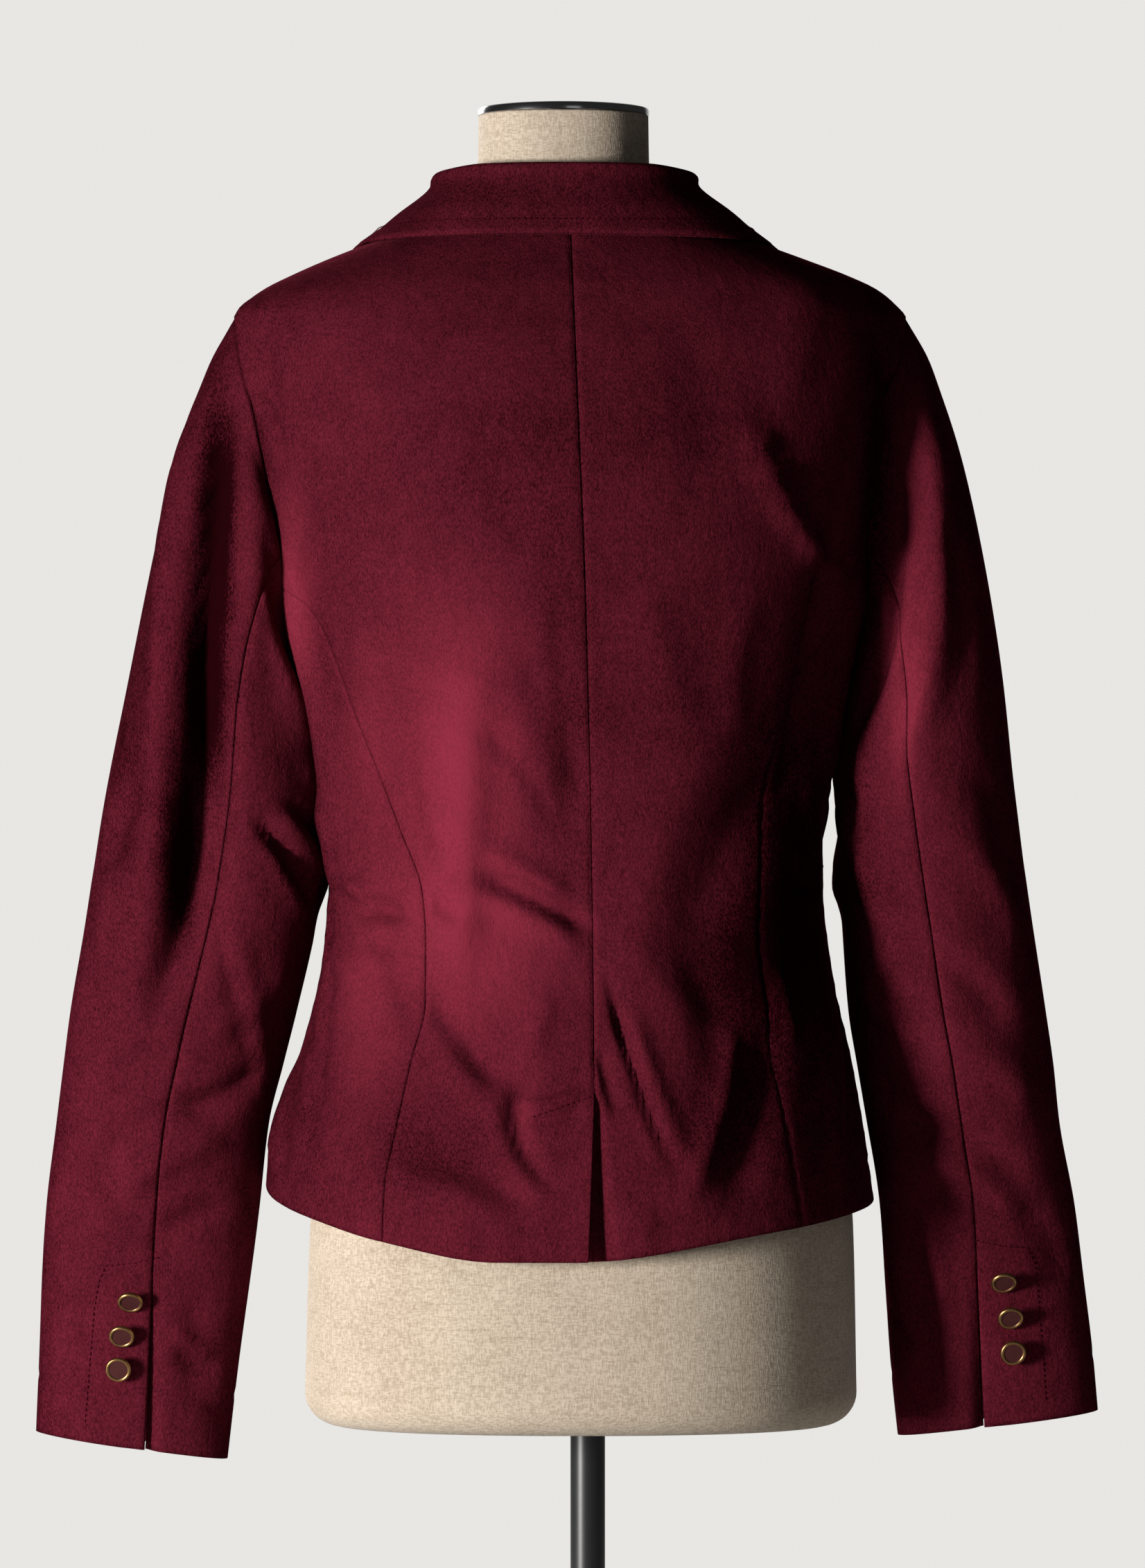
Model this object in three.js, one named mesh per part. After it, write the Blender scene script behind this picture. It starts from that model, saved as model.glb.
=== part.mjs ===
// A fitted blazer worn by a limbless dress form on a stand, in millimetres, +Z up.
// The front faces -Y, the wearer's left is +X, and the floor is at Z = 0 below the pole.
import * as THREE from 'three';

// Cloth thickness, the gap left at each seam, and the lift of a layer that lies on another
const CLOTH = 1.8;
const SEAM = 0.3;
const LAYER = 0.7;

// Torso heights: the armhole's level where the lower panels end, and the neckline
const YOKE_Z = 705;
const NECKLINE_Z = 915;

// Armhole oval, seen from the side
const ARMHOLE = { z: 770, halfHeight: 88, back: 49, front: 46 };

// Squareness of the horizontal sections, 2 being an ellipse
const SQUARENESS = 2.35;

// Steps of the finite differences that give the surfaces' normals
const BODY_STEP = { angle: 0.01, z: 1 };
const SLEEVE_STEP = { phi: 0.02, share: 0.005 };

const DEG = Math.PI / 180;
const HALF_TURN = 180 * DEG;
const FULL_TURN = 360 * DEG;

const VELVET = { color: 0x5a1428, roughness: 0.85, metalness: 0 };
const LINEN = { color: 0xcbb595, roughness: 0.95, metalness: 0 };
const SATIN_BLACK = { color: 0x111113, roughness: 0.45, metalness: 0.2 };
const DARK_CHROME = { color: 0x8a8a8c, roughness: 0.2, metalness: 1 };
const OLD_BRASS = { color: 0x8c6a3a, roughness: 0.4, metalness: 1 };

// Jacket sections: the side limits, back and front depths at each height
const BODY = [
  { z: 300, left: 194, right: -174, back: 131, front: -126 },
  { z: 345, left: 187, right: -166, back: 129, front: -127 },
  { z: 380, left: 183.5, right: -161, back: 125, front: -124 },
  { z: 425, left: 168.5, right: -153, back: 117, front: -118 },
  { z: 490, left: 153, right: -140, back: 102, front: -108 },
  { z: 530, left: 150, right: -136, back: 95, front: -103 },
  { z: 570, left: 149, right: -136, back: 96, front: -107 },
  { z: 620, left: 153, right: -141, back: 106, front: -121 },
  { z: 680, left: 168, right: -152, back: 119, front: -134 },
  { z: 720, left: 181, right: -163, back: 125, front: -135 },
  { z: 765, left: 193, right: -174, back: 125, front: -126 },
  { z: 810, left: 202, right: -182, back: 117, front: -111 },
  { z: 840, left: 205, right: -185, back: 107, front: -98 },
  { z: 857, left: 204, right: -184, back: 98, front: -89 },
  { z: 866, left: 197, right: -177, back: 93, front: -84 },
  { z: 874, left: 186, right: -167, back: 88, front: -79 },
  { z: 882, left: 170, right: -150, back: 82, front: -74 },
  { z: 890, left: 152, right: -129, back: 76, front: -69 },
  { z: 898, left: 132, right: -107, back: 70, front: -64 },
  { z: 906, left: 110, right: -85, back: 64, front: -59 },
  { z: 915, left: 89, right: -63, back: 58, front: -54 },
  { z: 960, left: 84, right: -58, back: 58, front: -52 },
];

// Hem height round the body, by angle in degrees from the wearer's left
const HEM = [
  { angle: 0, z: 361 },
  { angle: 30, z: 343 },
  { angle: 46, z: 332 },
  { angle: 72, z: 321 },
  { angle: 92, z: 321 },
  { angle: 138, z: 337 },
  { angle: 165, z: 347 },
  { angle: 180, z: 350 },
  { angle: 215, z: 343 },
  { angle: 270, z: 336 },
  { angle: 325, z: 346 },
  { angle: 360, z: 361 },
];

// Seams that run down the back, as the side distance at each height
const CENTRE_BACK = [
  { z: 300, x: -4.5 },
  { z: 420, x: -3.5 },
  { z: 530, x: -2.3 },
  { z: 700, x: 1.5 },
  { z: 800, x: 5.5 },
  { z: 915, x: 10 },
];
const PRINCESS_LEFT = [
  { z: 300, x: 117 },
  { z: 364, x: 114.6 },
  { z: 398, x: 108 },
  { z: 434, x: 100 },
  { z: 465, x: 92.3 },
  { z: 503, x: 91.7 },
  { z: 528, x: 93.7 },
  { z: 563, x: 106.5 },
  { z: 625, x: 131.5 },
  { z: 680, x: 153 },
  { z: 705, x: 172.5 },
];
const PRINCESS_RIGHT = [
  { z: 300, x: -127 },
  { z: 379, x: -115 },
  { z: 458, x: -103 },
  { z: 502, x: -98 },
  { z: 546, x: -101 },
  { z: 590, x: -104 },
  { z: 625, x: -113 },
  { z: 656, x: -127 },
  { z: 705, x: -154.5 },
];

// Front edges of the right front, from the cut-away hem up to the roll of the lapel
const FRONT_EDGE = [
  { z: 300, reach: -62 },
  { z: 345, reach: -34 },
  { z: 380, reach: -8 },
  { z: 420, reach: 9 },
  { z: 460, reach: 15 },
  { z: 602, reach: 15 },
  { z: 640, reach: -1 },
  { z: 700, reach: -22 },
  { z: 760, reach: -38 },
  { z: 820, reach: -51 },
  { z: 870, reach: -60 },
  { z: 915, reach: -66 },
];

// Outer edge of the lapel, as its distance out from the roll line
const LAPEL_EDGE = [
  { z: 602, width: 3 },
  { z: 625, width: 17 },
  { z: 680, width: 42 },
  { z: 740, width: 58 },
  { z: 800, width: 68 },
  { z: 822, width: 70 },
];

// Height of the gorge on the roll line, and how far the collar's end drops to its point
const GORGE = { z: 858, drop: 17, run: 55, seamShare: 0.62, notch: 15, gap: 1.5 };

// Collar from the back to its front end: where it joins the neck, stand height and leaf edge
const COLLAR = [
  { angle: 90, neckZ: 915, leafAngle: 90, leafZ: 901, stand: 26, lean: -0.12 },
  { angle: 68, neckZ: 915, leafAngle: 68, leafZ: 900.5, stand: 26, lean: -0.12 },
  { angle: 46, neckZ: 915, leafAngle: 46, leafZ: 900, stand: 26, lean: -0.12 },
  { angle: 23, neckZ: 915, leafAngle: 23, leafZ: 899.5, stand: 24, lean: -0.1 },
  { angle: 0, neckZ: 915, leafAngle: 0, leafZ: 898.5, stand: 22, lean: -0.05 },
  { angle: -18, neckZ: 915, leafAngle: -14, leafZ: 892, stand: 19, lean: 0.1 },
];
const COLLAR_FRONT = [
  { neckZ: 915, leafWidth: 55, leafZ: 887, stand: 17, lean: 0.25 },
  { neckZ: 905, leafWidth: 59, leafZ: 880, stand: 15, lean: 0.4 },
  { neckZ: 892, leafWidth: 60, leafZ: 866, stand: 10, lean: 0.7 },
  { neckZ: 876, leafWidth: 57, leafZ: 853, stand: 6, lean: 1.0 },
  { neckZ: 858, leafWidth: 53, leafZ: 841, stand: 3, lean: 1.4 },
];

// Main folds pressed into the torso: place, half length, half width, depth, lean from upright
const BODY_FOLDS = [
  { angle: 42, z: 535, length: 34, width: 9, depth: -3, lean: 68 },
  { angle: 62, z: 505, length: 46, width: 11, depth: 2.8, lean: 62 },
  { angle: 68, z: 575, length: 60, width: 12, depth: -2.6, lean: 38 },
  { angle: 50, z: 630, length: 70, width: 14, depth: 2.6, lean: 24 },
  { angle: 25, z: 520, length: 24, width: 9, depth: 2.8, lean: 80 },
  { angle: 108, z: 585, length: 55, width: 13, depth: -2.2, lean: -48 },
  { angle: 128, z: 520, length: 40, width: 10, depth: 2.4, lean: -64 },
  { angle: 150, z: 500, length: 24, width: 9, depth: -3, lean: -78 },
  { angle: 78, z: 425, length: 44, width: 13, depth: 2.6, lean: 70 },
  { angle: 60, z: 372, length: 38, width: 16, depth: -3, lean: 10 },
  { angle: 112, z: 385, length: 50, width: 15, depth: 2.8, lean: -16 },
  { angle: 140, z: 395, length: 45, width: 16, depth: -2.6, lean: 8 },
  { angle: 32, z: 745, length: 45, width: 11, depth: 2.8, lean: -18 },
  { angle: 146, z: 745, length: 48, width: 11, depth: -3, lean: 14 },
  { angle: 210, z: 525, length: 36, width: 11, depth: -2.6, lean: 66 },
  { angle: 232, z: 560, length: 46, width: 13, depth: 2.2, lean: 48 },
  { angle: 13, z: 620, length: 100, width: 15, depth: 9, lean: 0 },
  { angle: 167, z: 640, length: 70, width: 15, depth: 8, lean: 0 },
  { angle: 318, z: 530, length: 36, width: 11, depth: -2.6, lean: -62 },
  { angle: 300, z: 560, length: 44, width: 13, depth: 2.2, lean: -46 },
];

// Sleeves: outer and inner side limits at each height, left and right as worn
const SLEEVE_LEFT = [
  { z: 206, outer: 320, inner: 209 },
  { z: 250, outer: 318, inner: 203 },
  { z: 300, outer: 316, inner: 196 },
  { z: 345, outer: 313, inner: 190 },
  { z: 394, outer: 307, inner: 184 },
  { z: 426, outer: 303, inner: 176 },
  { z: 458, outer: 299, inner: 168 },
  { z: 506, outer: 291, inner: 157.5 },
  { z: 530, outer: 287, inner: 154 },
  { z: 570, outer: 280, inner: 152.5 },
  { z: 634, outer: 268, inner: 158 },
];
const SLEEVE_RIGHT = [
  { z: 219, outer: -296, inner: -180 },
  { z: 250, outer: -293, inner: -177 },
  { z: 300, outer: -287, inner: -173 },
  { z: 345, outer: -282, inner: -169 },
  { z: 394, outer: -273, inner: -161 },
  { z: 426, outer: -269, inner: -156 },
  { z: 458, outer: -264, inner: -151 },
  { z: 506, outer: -257, inner: -147 },
  { z: 570, outer: -249, inner: -142.5 },
  { z: 600, outer: -245, inner: -141.5 },
  { z: 634, outer: -241, inner: -146.5 },
];

// Depth of both sleeves: middle and half depth, and how the cuff's plane slants
const SLEEVE_DEPTH = [
  { z: 206, middle: -22, half: 28, slant: 8 },
  { z: 300, middle: -18, half: 33, slant: 3 },
  { z: 426, middle: -10, half: 41, slant: 0 },
  { z: 570, middle: -5, half: 47, slant: 0 },
  { z: 634, middle: -2, half: 50, slant: 0 },
];

// Back and front seams of the two-piece sleeve, in degrees round it, from head to cuff
const SLEEVE_SEAMS = [
  { share: 0, back: 122, front: 236 },
  { share: 0.35, back: 100, front: 236 },
  { share: 0.7, back: 92, front: 238 },
  { share: 1, back: 98, front: 238 },
];

// Folds of the sleeves: place round and down, half length, half width, depth and lean
const SLEEVE_FOLDS = [
  { angle: 70, z: 800, length: 30, width: 9, depth: -4, lean: 20 },
  { angle: 105, z: 690, length: 40, width: 11, depth: 3, lean: -28 },
  { angle: 128, z: 560, length: 34, width: 10, depth: -4, lean: 58 },
  { angle: 120, z: 525, length: 36, width: 11, depth: 3.5, lean: 55 },
  { angle: 150, z: 495, length: 26, width: 10, depth: -3.5, lean: 66 },
  { angle: 62, z: 540, length: 42, width: 14, depth: -3, lean: -40 },
  { angle: 80, z: 440, length: 44, width: 14, depth: 3, lean: 44 },
  { angle: 112, z: 380, length: 34, width: 12, depth: -3, lean: 60 },
  { angle: 60, z: 345, length: 36, width: 12, depth: 2.5, lean: -52 },
  { angle: 200, z: 540, length: 34, width: 12, depth: -3.5, lean: -55 },
  { angle: 290, z: 560, length: 44, width: 14, depth: -3, lean: 48 },
  { angle: 280, z: 430, length: 40, width: 14, depth: 3, lean: -40 },
];

// Cuff buttons of each sleeve by side distance and height, and the front's by height
const BUTTONS_LEFT = [
  { x: 262.6, z: 293.5 },
  { x: 267.5, z: 273 },
  { x: 269.5, z: 252.8 },
];
const BUTTONS_RIGHT = [
  { x: -238.6, z: 304.6 },
  { x: -242.6, z: 283.4 },
  { x: -244.2, z: 262.3 },
];
const BUTTONS_FRONT = [{ z: 580 }, { z: 500 }];
const CUFF_BUTTON_RADIUS = 7.5;
const FRONT_BUTTON_RADIUS = 10;

// Dress form: the same columns as the jacket, clear of it, touching only at the shoulders
const FORM = [
  { z: 239, left: 163, right: -155, back: 112, front: -112 },
  { z: 335, left: 160, right: -153, back: 110, front: -110 },
  { z: 400, left: 149, right: -143, back: 101, front: -103 },
  { z: 460, left: 133, right: -126, back: 87, front: -93 },
  { z: 530, left: 124, right: -112, back: 76, front: -85 },
  { z: 590, left: 130, right: -118, back: 80, front: -93 },
  { z: 660, left: 147, right: -133, back: 97, front: -114 },
  { z: 720, left: 160, right: -144, back: 109, front: -118 },
  { z: 770, left: 168, right: -151, back: 112, front: -109 },
  { z: 820, left: 176, right: -157, back: 105, front: -96 },
  { z: 848, left: 180, right: -161, back: 94, front: -84 },
  { z: 863, left: 182, right: -163, back: 88, front: -79 },
  { z: 871.2, left: 178, right: -159, back: 84, front: -76 },
  { z: 879.2, left: 168, right: -148, back: 79, front: -72 },
  { z: 887.2, left: 152, right: -129, back: 74, front: -68 },
  { z: 895.2, left: 132, right: -107, back: 69, front: -63 },
  { z: 903.2, left: 110, right: -85, back: 63, front: -58 },
  { z: 912.2, left: 87, right: -60, back: 56, front: -53 },
  { z: 924, left: 70, right: -43, back: 49, front: -51 },
  { z: 945, left: 63.5, right: -35.5, back: 47, front: -51 },
  { z: 974, left: 63, right: -35, back: 47, front: -51 },
];
const FORM_BOTTOM = 221;
const FORM_ROUND = 18;
const NECK_CENTRE = { x: 14, y: -2 };
const NECK_CAP = { z: 974.3, height: 4.7, radius: 49.5, edge: 1 };
const POLE_RADIUS = 10;
const BASE = { radius: 150, height: 10, edge: 4 };
const SOCKET = { radius: 17, height: 36, clearance: 0.3, edge: 2 };
const FLANGE = { width: 8, rim: 3, rise: 7 };

// Smooth curve through one column of a table, with no overshoot between its rows
function curve(table, key, column) {
  const xs = table.map((row) => row[key]);
  const ys = table.map((row) => row[column]);
  const last = xs.length - 1;
  const slope = (i) => (ys[i + 1] - ys[i]) / (xs[i + 1] - xs[i]);
  const tangents = xs.map((_, i) => {
    if (i === 0) return slope(0);
    if (i === last) return slope(last - 1);
    const before = slope(i - 1);
    const after = slope(i);
    return before * after <= 0 ? 0 : (2 * before * after) / (before + after);
  });
  return (x) => {
    if (x <= xs[0]) return ys[0];
    if (x >= xs[last]) return ys[last];
    const i = xs.findIndex((value, k) => k < last && x <= xs[k + 1]);
    const width = xs[i + 1] - xs[i];
    const s = (x - xs[i]) / width;
    return hermite(ys[i], ys[i + 1], tangents[i] * width, tangents[i + 1] * width, s);
  };
}

// Cubic between two values with a given slope at each
function hermite(from, to, slopeFrom, slopeTo, s) {
  const s2 = s * s;
  const s3 = s2 * s;
  return (2 * s3 - 3 * s2 + 1) * from + (s3 - 2 * s2 + s) * slopeFrom
    + (3 * s2 - 2 * s3) * to + (s3 - s2) * slopeTo;
}

const mix = (a, b, s) => a + (b - a) * s;
const clamp01 = (s) => Math.min(1, Math.max(0, s));
const power = (value, exponent) => Math.sign(value) * Math.abs(value) ** exponent;
const smoothStep = (s) => clamp01(s) ** 2 * (3 - 2 * clamp01(s));

// A rounded horizontal section: the point at an angle and height, from side limits and depths
function sections(table) {
  const left = curve(table, 'z', 'left');
  const right = curve(table, 'z', 'right');
  const back = curve(table, 'z', 'back');
  const front = curve(table, 'z', 'front');
  const middle = (z) => (left(z) + right(z)) / 2;
  const halfWidth = (z) => (left(z) - right(z)) / 2;
  const depth = (z, sine) => (sine >= 0 ? back(z) : -front(z));
  const rest = (share) => (1 - Math.min(1, Math.abs(share)) ** SQUARENESS) ** (1 / SQUARENESS);
  const at = (angle, z) => {
    const cosine = Math.cos(angle);
    const sine = Math.sin(angle);
    const across = Math.abs(cosine / halfWidth(z)) ** SQUARENESS;
    const through = Math.abs(sine / depth(z, sine)) ** SQUARENESS;
    const radius = (across + through) ** (-1 / SQUARENESS);
    return new THREE.Vector3(middle(z) + radius * cosine, radius * sine, z);
  };
  // The angle at which the section passes a side distance x, on the back or on the front
  const angleAtX = (x, z, onFront) => {
    const out = x - middle(z);
    const y = depth(z, onFront ? -1 : 1) * rest(out / halfWidth(z));
    return onFront ? 2 * Math.PI - Math.atan2(y, out) : Math.atan2(y, out);
  };
  // The angle at which the section passes a depth y, on the left or on the right side
  const angleAtY = (y, z, onRight) => {
    const angle = Math.atan2(y, halfWidth(z) * rest(y / depth(z, y)));
    return onRight ? Math.PI - angle : angle;
  };
  return { at, angleAtX, angleAtY, middle };
}

// Outward direction of a surface given by a point function of two values
function normalOf(point, a, b, stepA, stepB) {
  const alongA = point(a + stepA, b).sub(point(a - stepA, b));
  const alongB = point(a, b + stepB).sub(point(a, b - stepB));
  return alongA.cross(alongB).normalize();
}

// Height of a fold at a place: a soft ridge or trough that leans from upright
function foldHeight(fold, across, up) {
  const lean = fold.lean * DEG;
  const along = up * Math.cos(lean) + across * Math.sin(lean);
  const beside = across * Math.cos(lean) - up * Math.sin(lean);
  return fold.depth * Math.exp(-((along / fold.length) ** 2) - (beside / fold.width) ** 2);
}

const body = sections(BODY);
const HEM_HEIGHT = curve(HEM.map((row) => ({ ...row, angle: row.angle * DEG })), 'angle', 'z');
const GIRTH_RADIUS = 145;
const bodyNormal = (angle, z) => normalOf(body.at, angle, z, BODY_STEP.angle, BODY_STEP.z);

// Shortest turn from one angle to another
function turn(from, to) {
  return Math.atan2(Math.sin(to - from), Math.cos(to - from));
}

// Sum of the torso's folds at a place
function bodyFolds(angle, z) {
  return BODY_FOLDS.reduce((sum, fold) => {
    const across = turn(fold.angle * DEG, angle) * GIRTH_RADIUS;
    return sum + foldHeight(fold, across, z - fold.z);
  }, 0);
}

// A point on the jacket's torso, moved out along the surface by a lift
function skin(angle, z, lift) {
  const normal = bodyNormal(angle, z);
  return body.at(angle, z).addScaledVector(normal, lift + bodyFolds(angle, z));
}

// Angle that makes a gap of a given length at a place on the torso
function gapAngle(angle, z, gap) {
  const step = BODY_STEP.angle;
  const reach = body.at(angle + step, z).distanceTo(body.at(angle - step, z));
  return (gap * 2 * step) / reach;
}

// Turn a mesh's triangles to face out where its volume comes out negative
function facingOut(positions, triangles) {
  let volume = 0;
  for (let i = 0; i < triangles.length; i += 3) {
    const [a, b, c] = triangles.slice(i, i + 3).map((k) => positions[k]);
    volume += a.dot(b.clone().cross(c));
  }
  if (volume < 0) {
    for (let i = 0; i < triangles.length; i += 3) {
      [triangles[i + 1], triangles[i + 2]] = [triangles[i + 2], triangles[i + 1]];
    }
  }
  const geometry = new THREE.BufferGeometry();
  const flat = positions.flatMap((point) => [point.x, point.y, point.z]);
  geometry.setAttribute('position', new THREE.Float32BufferAttribute(flat, 3));
  geometry.setIndex(triangles);
  geometry.computeVertexNormals();
  return geometry;
}

// A closed wall over a grid: outer and inner points, with the cells that are left out.
// point(column, row, side) gives a grid point, side 0 outside and 1 inside.
function wall(columns, rows, point, present = () => true) {
  const positions = [];
  const numbers = new Map();
  const triangles = [];
  const number = (column, row, side) => {
    const key = `${column},${row},${side}`;
    if (!numbers.has(key)) {
      numbers.set(key, positions.length);
      positions.push(point(column, row, side));
    }
    return numbers.get(key);
  };
  const quad = (a, b, c, d) => triangles.push(a, b, c, a, c, d);
  const has = (column, row) => column >= 0 && row >= 0 && column < columns && row < rows
    && present(column, row);
  for (let row = 0; row < rows; row += 1) {
    for (let column = 0; column < columns; column += 1) {
      if (!has(column, row)) continue;
      const corners = [[column, row], [column + 1, row], [column + 1, row + 1], [column, row + 1]];
      const outer = corners.map(([c, r]) => number(c, r, 0));
      const inner = corners.map(([c, r]) => number(c, r, 1));
      quad(...outer);
      quad(...[...inner].reverse());
      const beside = [[column, row - 1], [column + 1, row], [column, row + 1], [column - 1, row]];
      beside.forEach(([c, r], side) => {
        const next = (side + 1) % corners.length;
        if (!has(c, r)) quad(outer[next], outer[side], inner[side], inner[next]);
      });
    }
  }
  return facingOut(positions, triangles);
}

// Grid of the torso panels
const LOWER_ROWS = 20;
const UPPER_LEVELS = [
  723, 741, 759, 777, 795, 812, 828, 842, 854, 863, 871, 879, 887, 895, 903, 909, NECKLINE_Z,
];
const BACK_COLUMNS = 8;
const SIDE_COLUMNS = 5;
const UNDERARM_COLUMNS = 3;
const CHEST_COLUMNS = 6;

// Vent at the foot of the centre back seam, its underlay and how far it stands open at the hem
const VENT = { rows: 5, z: 412, underlay: 30, columns: 2, open: 4 };

// Half depth of the armhole's oval at a height
function spanAt(z, half) {
  const up = (z - ARMHOLE.z) / ARMHOLE.halfHeight;
  return half * Math.sqrt(Math.max(0, 1 - up ** 2));
}

const armholeY = (z, onFront) => (onFront ? -spanAt(z, ARMHOLE.front) : spanAt(z, ARMHOLE.back));

// Angle where a panel ends beside the armhole, or at the shoulder seam above it
function armholeAngle(z, isLeft, onFront) {
  const inArmhole = z < ARMHOLE.z + ARMHOLE.halfHeight;
  const y = inArmhole ? armholeY(z, onFront) : 0;
  const angle = body.angleAtY(y, z, !isLeft);
  return onFront && isLeft ? angle + FULL_TURN : angle;
}

// Top of the lower panels: the yoke's level, dipping along the bottom of the armhole
function lowerTop(angle) {
  const y = body.at(angle, YOKE_Z).y;
  const half = y >= 0 ? ARMHOLE.back : ARMHOLE.front;
  if (Math.abs(y) >= spanAt(YOKE_Z, half)) return YOKE_Z;
  return ARMHOLE.z - ARMHOLE.halfHeight * Math.sqrt(1 - (y / half) ** 2);
}

// Height of a lower row at an angle, with the hem as row 0
function lowerZ(angle, row) {
  const full = (angle + FULL_TURN) % FULL_TURN;
  return mix(HEM_HEIGHT(full), lowerTop(angle), row / LOWER_ROWS);
}

// Place on the torso of a grid point whose angle depends on its own height, found in passes
const PLACE_PASSES = 5;

function place(row, angleAt) {
  if (row > LOWER_ROWS) {
    const z = UPPER_LEVELS[row - LOWER_ROWS - 1];
    return { angle: angleAt(z), z };
  }
  let z = mix(HEM_HEIGHT(0), YOKE_Z, row / LOWER_ROWS);
  for (let pass = 0; pass < PLACE_PASSES; pass += 1) z = lowerZ(angleAt(z), row);
  return { angle: angleAt(z), z };
}

const centreBack = curve(CENTRE_BACK, 'z', 'x');
const princess = { left: curve(PRINCESS_LEFT, 'z', 'x'), right: curve(PRINCESS_RIGHT, 'z', 'x') };
const princessAngle = (z, isLeft) => body.angleAtX(princess[isLeft ? 'left' : 'right'](z), z, false);

// Centre back panel, from the centre seam to the princess seam and the armhole
function centreBackPanel(isLeft) {
  const away = isLeft ? -1 : 1;
  const extra = isLeft ? 0 : VENT.columns;
  const seamAngle = (z) => {
    const open = isLeft ? VENT.open * clamp01((VENT.z - z) / (VENT.z - HEM_HEIGHT(Math.PI / 2))) : 0;
    const angle = body.angleAtX(centreBack(z), z, false);
    return angle + away * gapAngle(angle, z, SEAM / 2 + open);
  };
  const sideAngle = (z) => {
    const angle = z <= YOKE_Z ? princessAngle(z, isLeft) : armholeAngle(z, isLeft, false);
    return angle - away * gapAngle(angle, z, SEAM / 2);
  };
  const point = (column, row, side) => {
    const share = (column - extra) / BACK_COLUMNS;
    const at = place(row, (z) => mix(seamAngle(z), sideAngle(z), Math.max(0, share)));
    const dips = !isLeft && column <= extra && row <= VENT.rows;
    if (column < extra) {
      at.angle -= gapAngle(at.angle, at.z, VENT.underlay * (1 - column / extra));
    }
    const lift = (dips ? -(CLOTH + LAYER) : 0) - side * CLOTH;
    return skin(at.angle, at.z, lift);
  };
  const present = (column, row) => column >= extra || row < VENT.rows;
  return wall(extra + BACK_COLUMNS, LOWER_ROWS + UPPER_LEVELS.length, point, present);
}

// Side back panel, from the princess seam to the side seam, below the armhole
function sideBackPanel(isLeft) {
  const away = isLeft ? -1 : 1;
  const sideSeam = isLeft ? 0 : HALF_TURN;
  const point = (column, row, side) => {
    const at = place(row, (z) => {
      const inner = princessAngle(z, isLeft);
      const from = inner + away * gapAngle(inner, z, SEAM / 2);
      const to = sideSeam - away * gapAngle(sideSeam, z, SEAM / 2);
      return mix(from, to, column / SIDE_COLUMNS);
    });
    return skin(at.angle, at.z, -side * CLOTH);
  };
  return wall(SIDE_COLUMNS, LOWER_ROWS, point);
}

const frontReach = curve(FRONT_EDGE, 'z', 'reach');
const LAP = { full: 52, ramp: 45, fadeFrom: 645, fade: 60 };

// Side distance on the front at a reach past the middle towards the other front
const frontX = (isLeft, z, reach) => body.middle(z) + (isLeft ? -reach : reach);
const frontAngle = (isLeft, z, reach) => body.angleAtX(frontX(isLeft, z, reach), z, true);

// Lift of the right front, which lies over the left one down the middle
function lapLift(isLeft, angle, z) {
  if (isLeft) return 0;
  const fromEdge = frontX(false, z, frontReach(z)) - body.at(angle, z).x;
  const beside = 1 - smoothStep((fromEdge - LAP.full) / LAP.ramp);
  const below = 1 - smoothStep((z - LAP.fadeFrom) / LAP.fade);
  return (CLOTH + LAYER) * beside * below;
}

// A point on a front, moved out by a lift over the panel
const frontSkin = (isLeft, angle, z, lift) => skin(angle, z, lift + lapLift(isLeft, angle, z));

// Front panel, from the side seam and armhole to the front edge and the roll of the lapel
function frontPanel(isLeft) {
  const away = isLeft ? -1 : 1;
  const sideSeam = isLeft ? FULL_TURN : HALF_TURN;
  const chest = armholeAngle(YOKE_Z, isLeft, true);
  const point = (column, row, side) => {
    const at = place(row, (z) => {
      const seam = sideSeam + away * gapAngle(sideSeam, z, SEAM / 2);
      if (column <= UNDERARM_COLUMNS && row <= LOWER_ROWS) {
        return mix(seam, chest, column / UNDERARM_COLUMNS);
      }
      const armhole = armholeAngle(z, isLeft, true) + away * gapAngle(0, z, SEAM / 2);
      const from = row <= LOWER_ROWS ? chest : armhole;
      const share = (column - UNDERARM_COLUMNS) / CHEST_COLUMNS;
      return mix(from, frontAngle(isLeft, z, frontReach(z)), share);
    });
    return frontSkin(isLeft, at.angle, at.z, -side * CLOTH);
  };
  const present = (column, row) => column >= UNDERARM_COLUMNS || row < LOWER_ROWS;
  const rows = LOWER_ROWS + UPPER_LEVELS.length;
  return wall(UNDERARM_COLUMNS + CHEST_COLUMNS, rows, point, present);
}

// Lapel: the turned part of a front, lying on it from the roll line to its outer edge
const LAPEL_COLUMNS = 6;
const LAPEL_ROWS = 12;
const LAPEL_START = { left: 646, right: 607 };
const lapelWidth = curve(LAPEL_EDGE, 'z', 'width');

function gorgeZ(out) {
  const along = out / GORGE.run;
  const notch = smoothStep((along - GORGE.seamShare) / (1 - GORGE.seamShare));
  return GORGE.z - GORGE.gap - GORGE.drop * along - GORGE.notch * notch;
}

function lapel(isLeft) {
  const start = LAPEL_START[isLeft ? 'left' : 'right'];
  const topWidth = LAPEL_EDGE[LAPEL_EDGE.length - 1].width;
  const point = (column, row, side) => {
    const share = column / LAPEL_COLUMNS;
    const z = mix(start, gorgeZ(share * topWidth), row / LAPEL_ROWS);
    const reach = frontReach(z) - SEAM - share * lapelWidth(z);
    return frontSkin(isLeft, frontAngle(isLeft, z, reach), z, LAYER + (1 - side) * CLOTH);
  };
  return wall(LAPEL_COLUMNS, LAPEL_ROWS, point);
}

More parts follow.
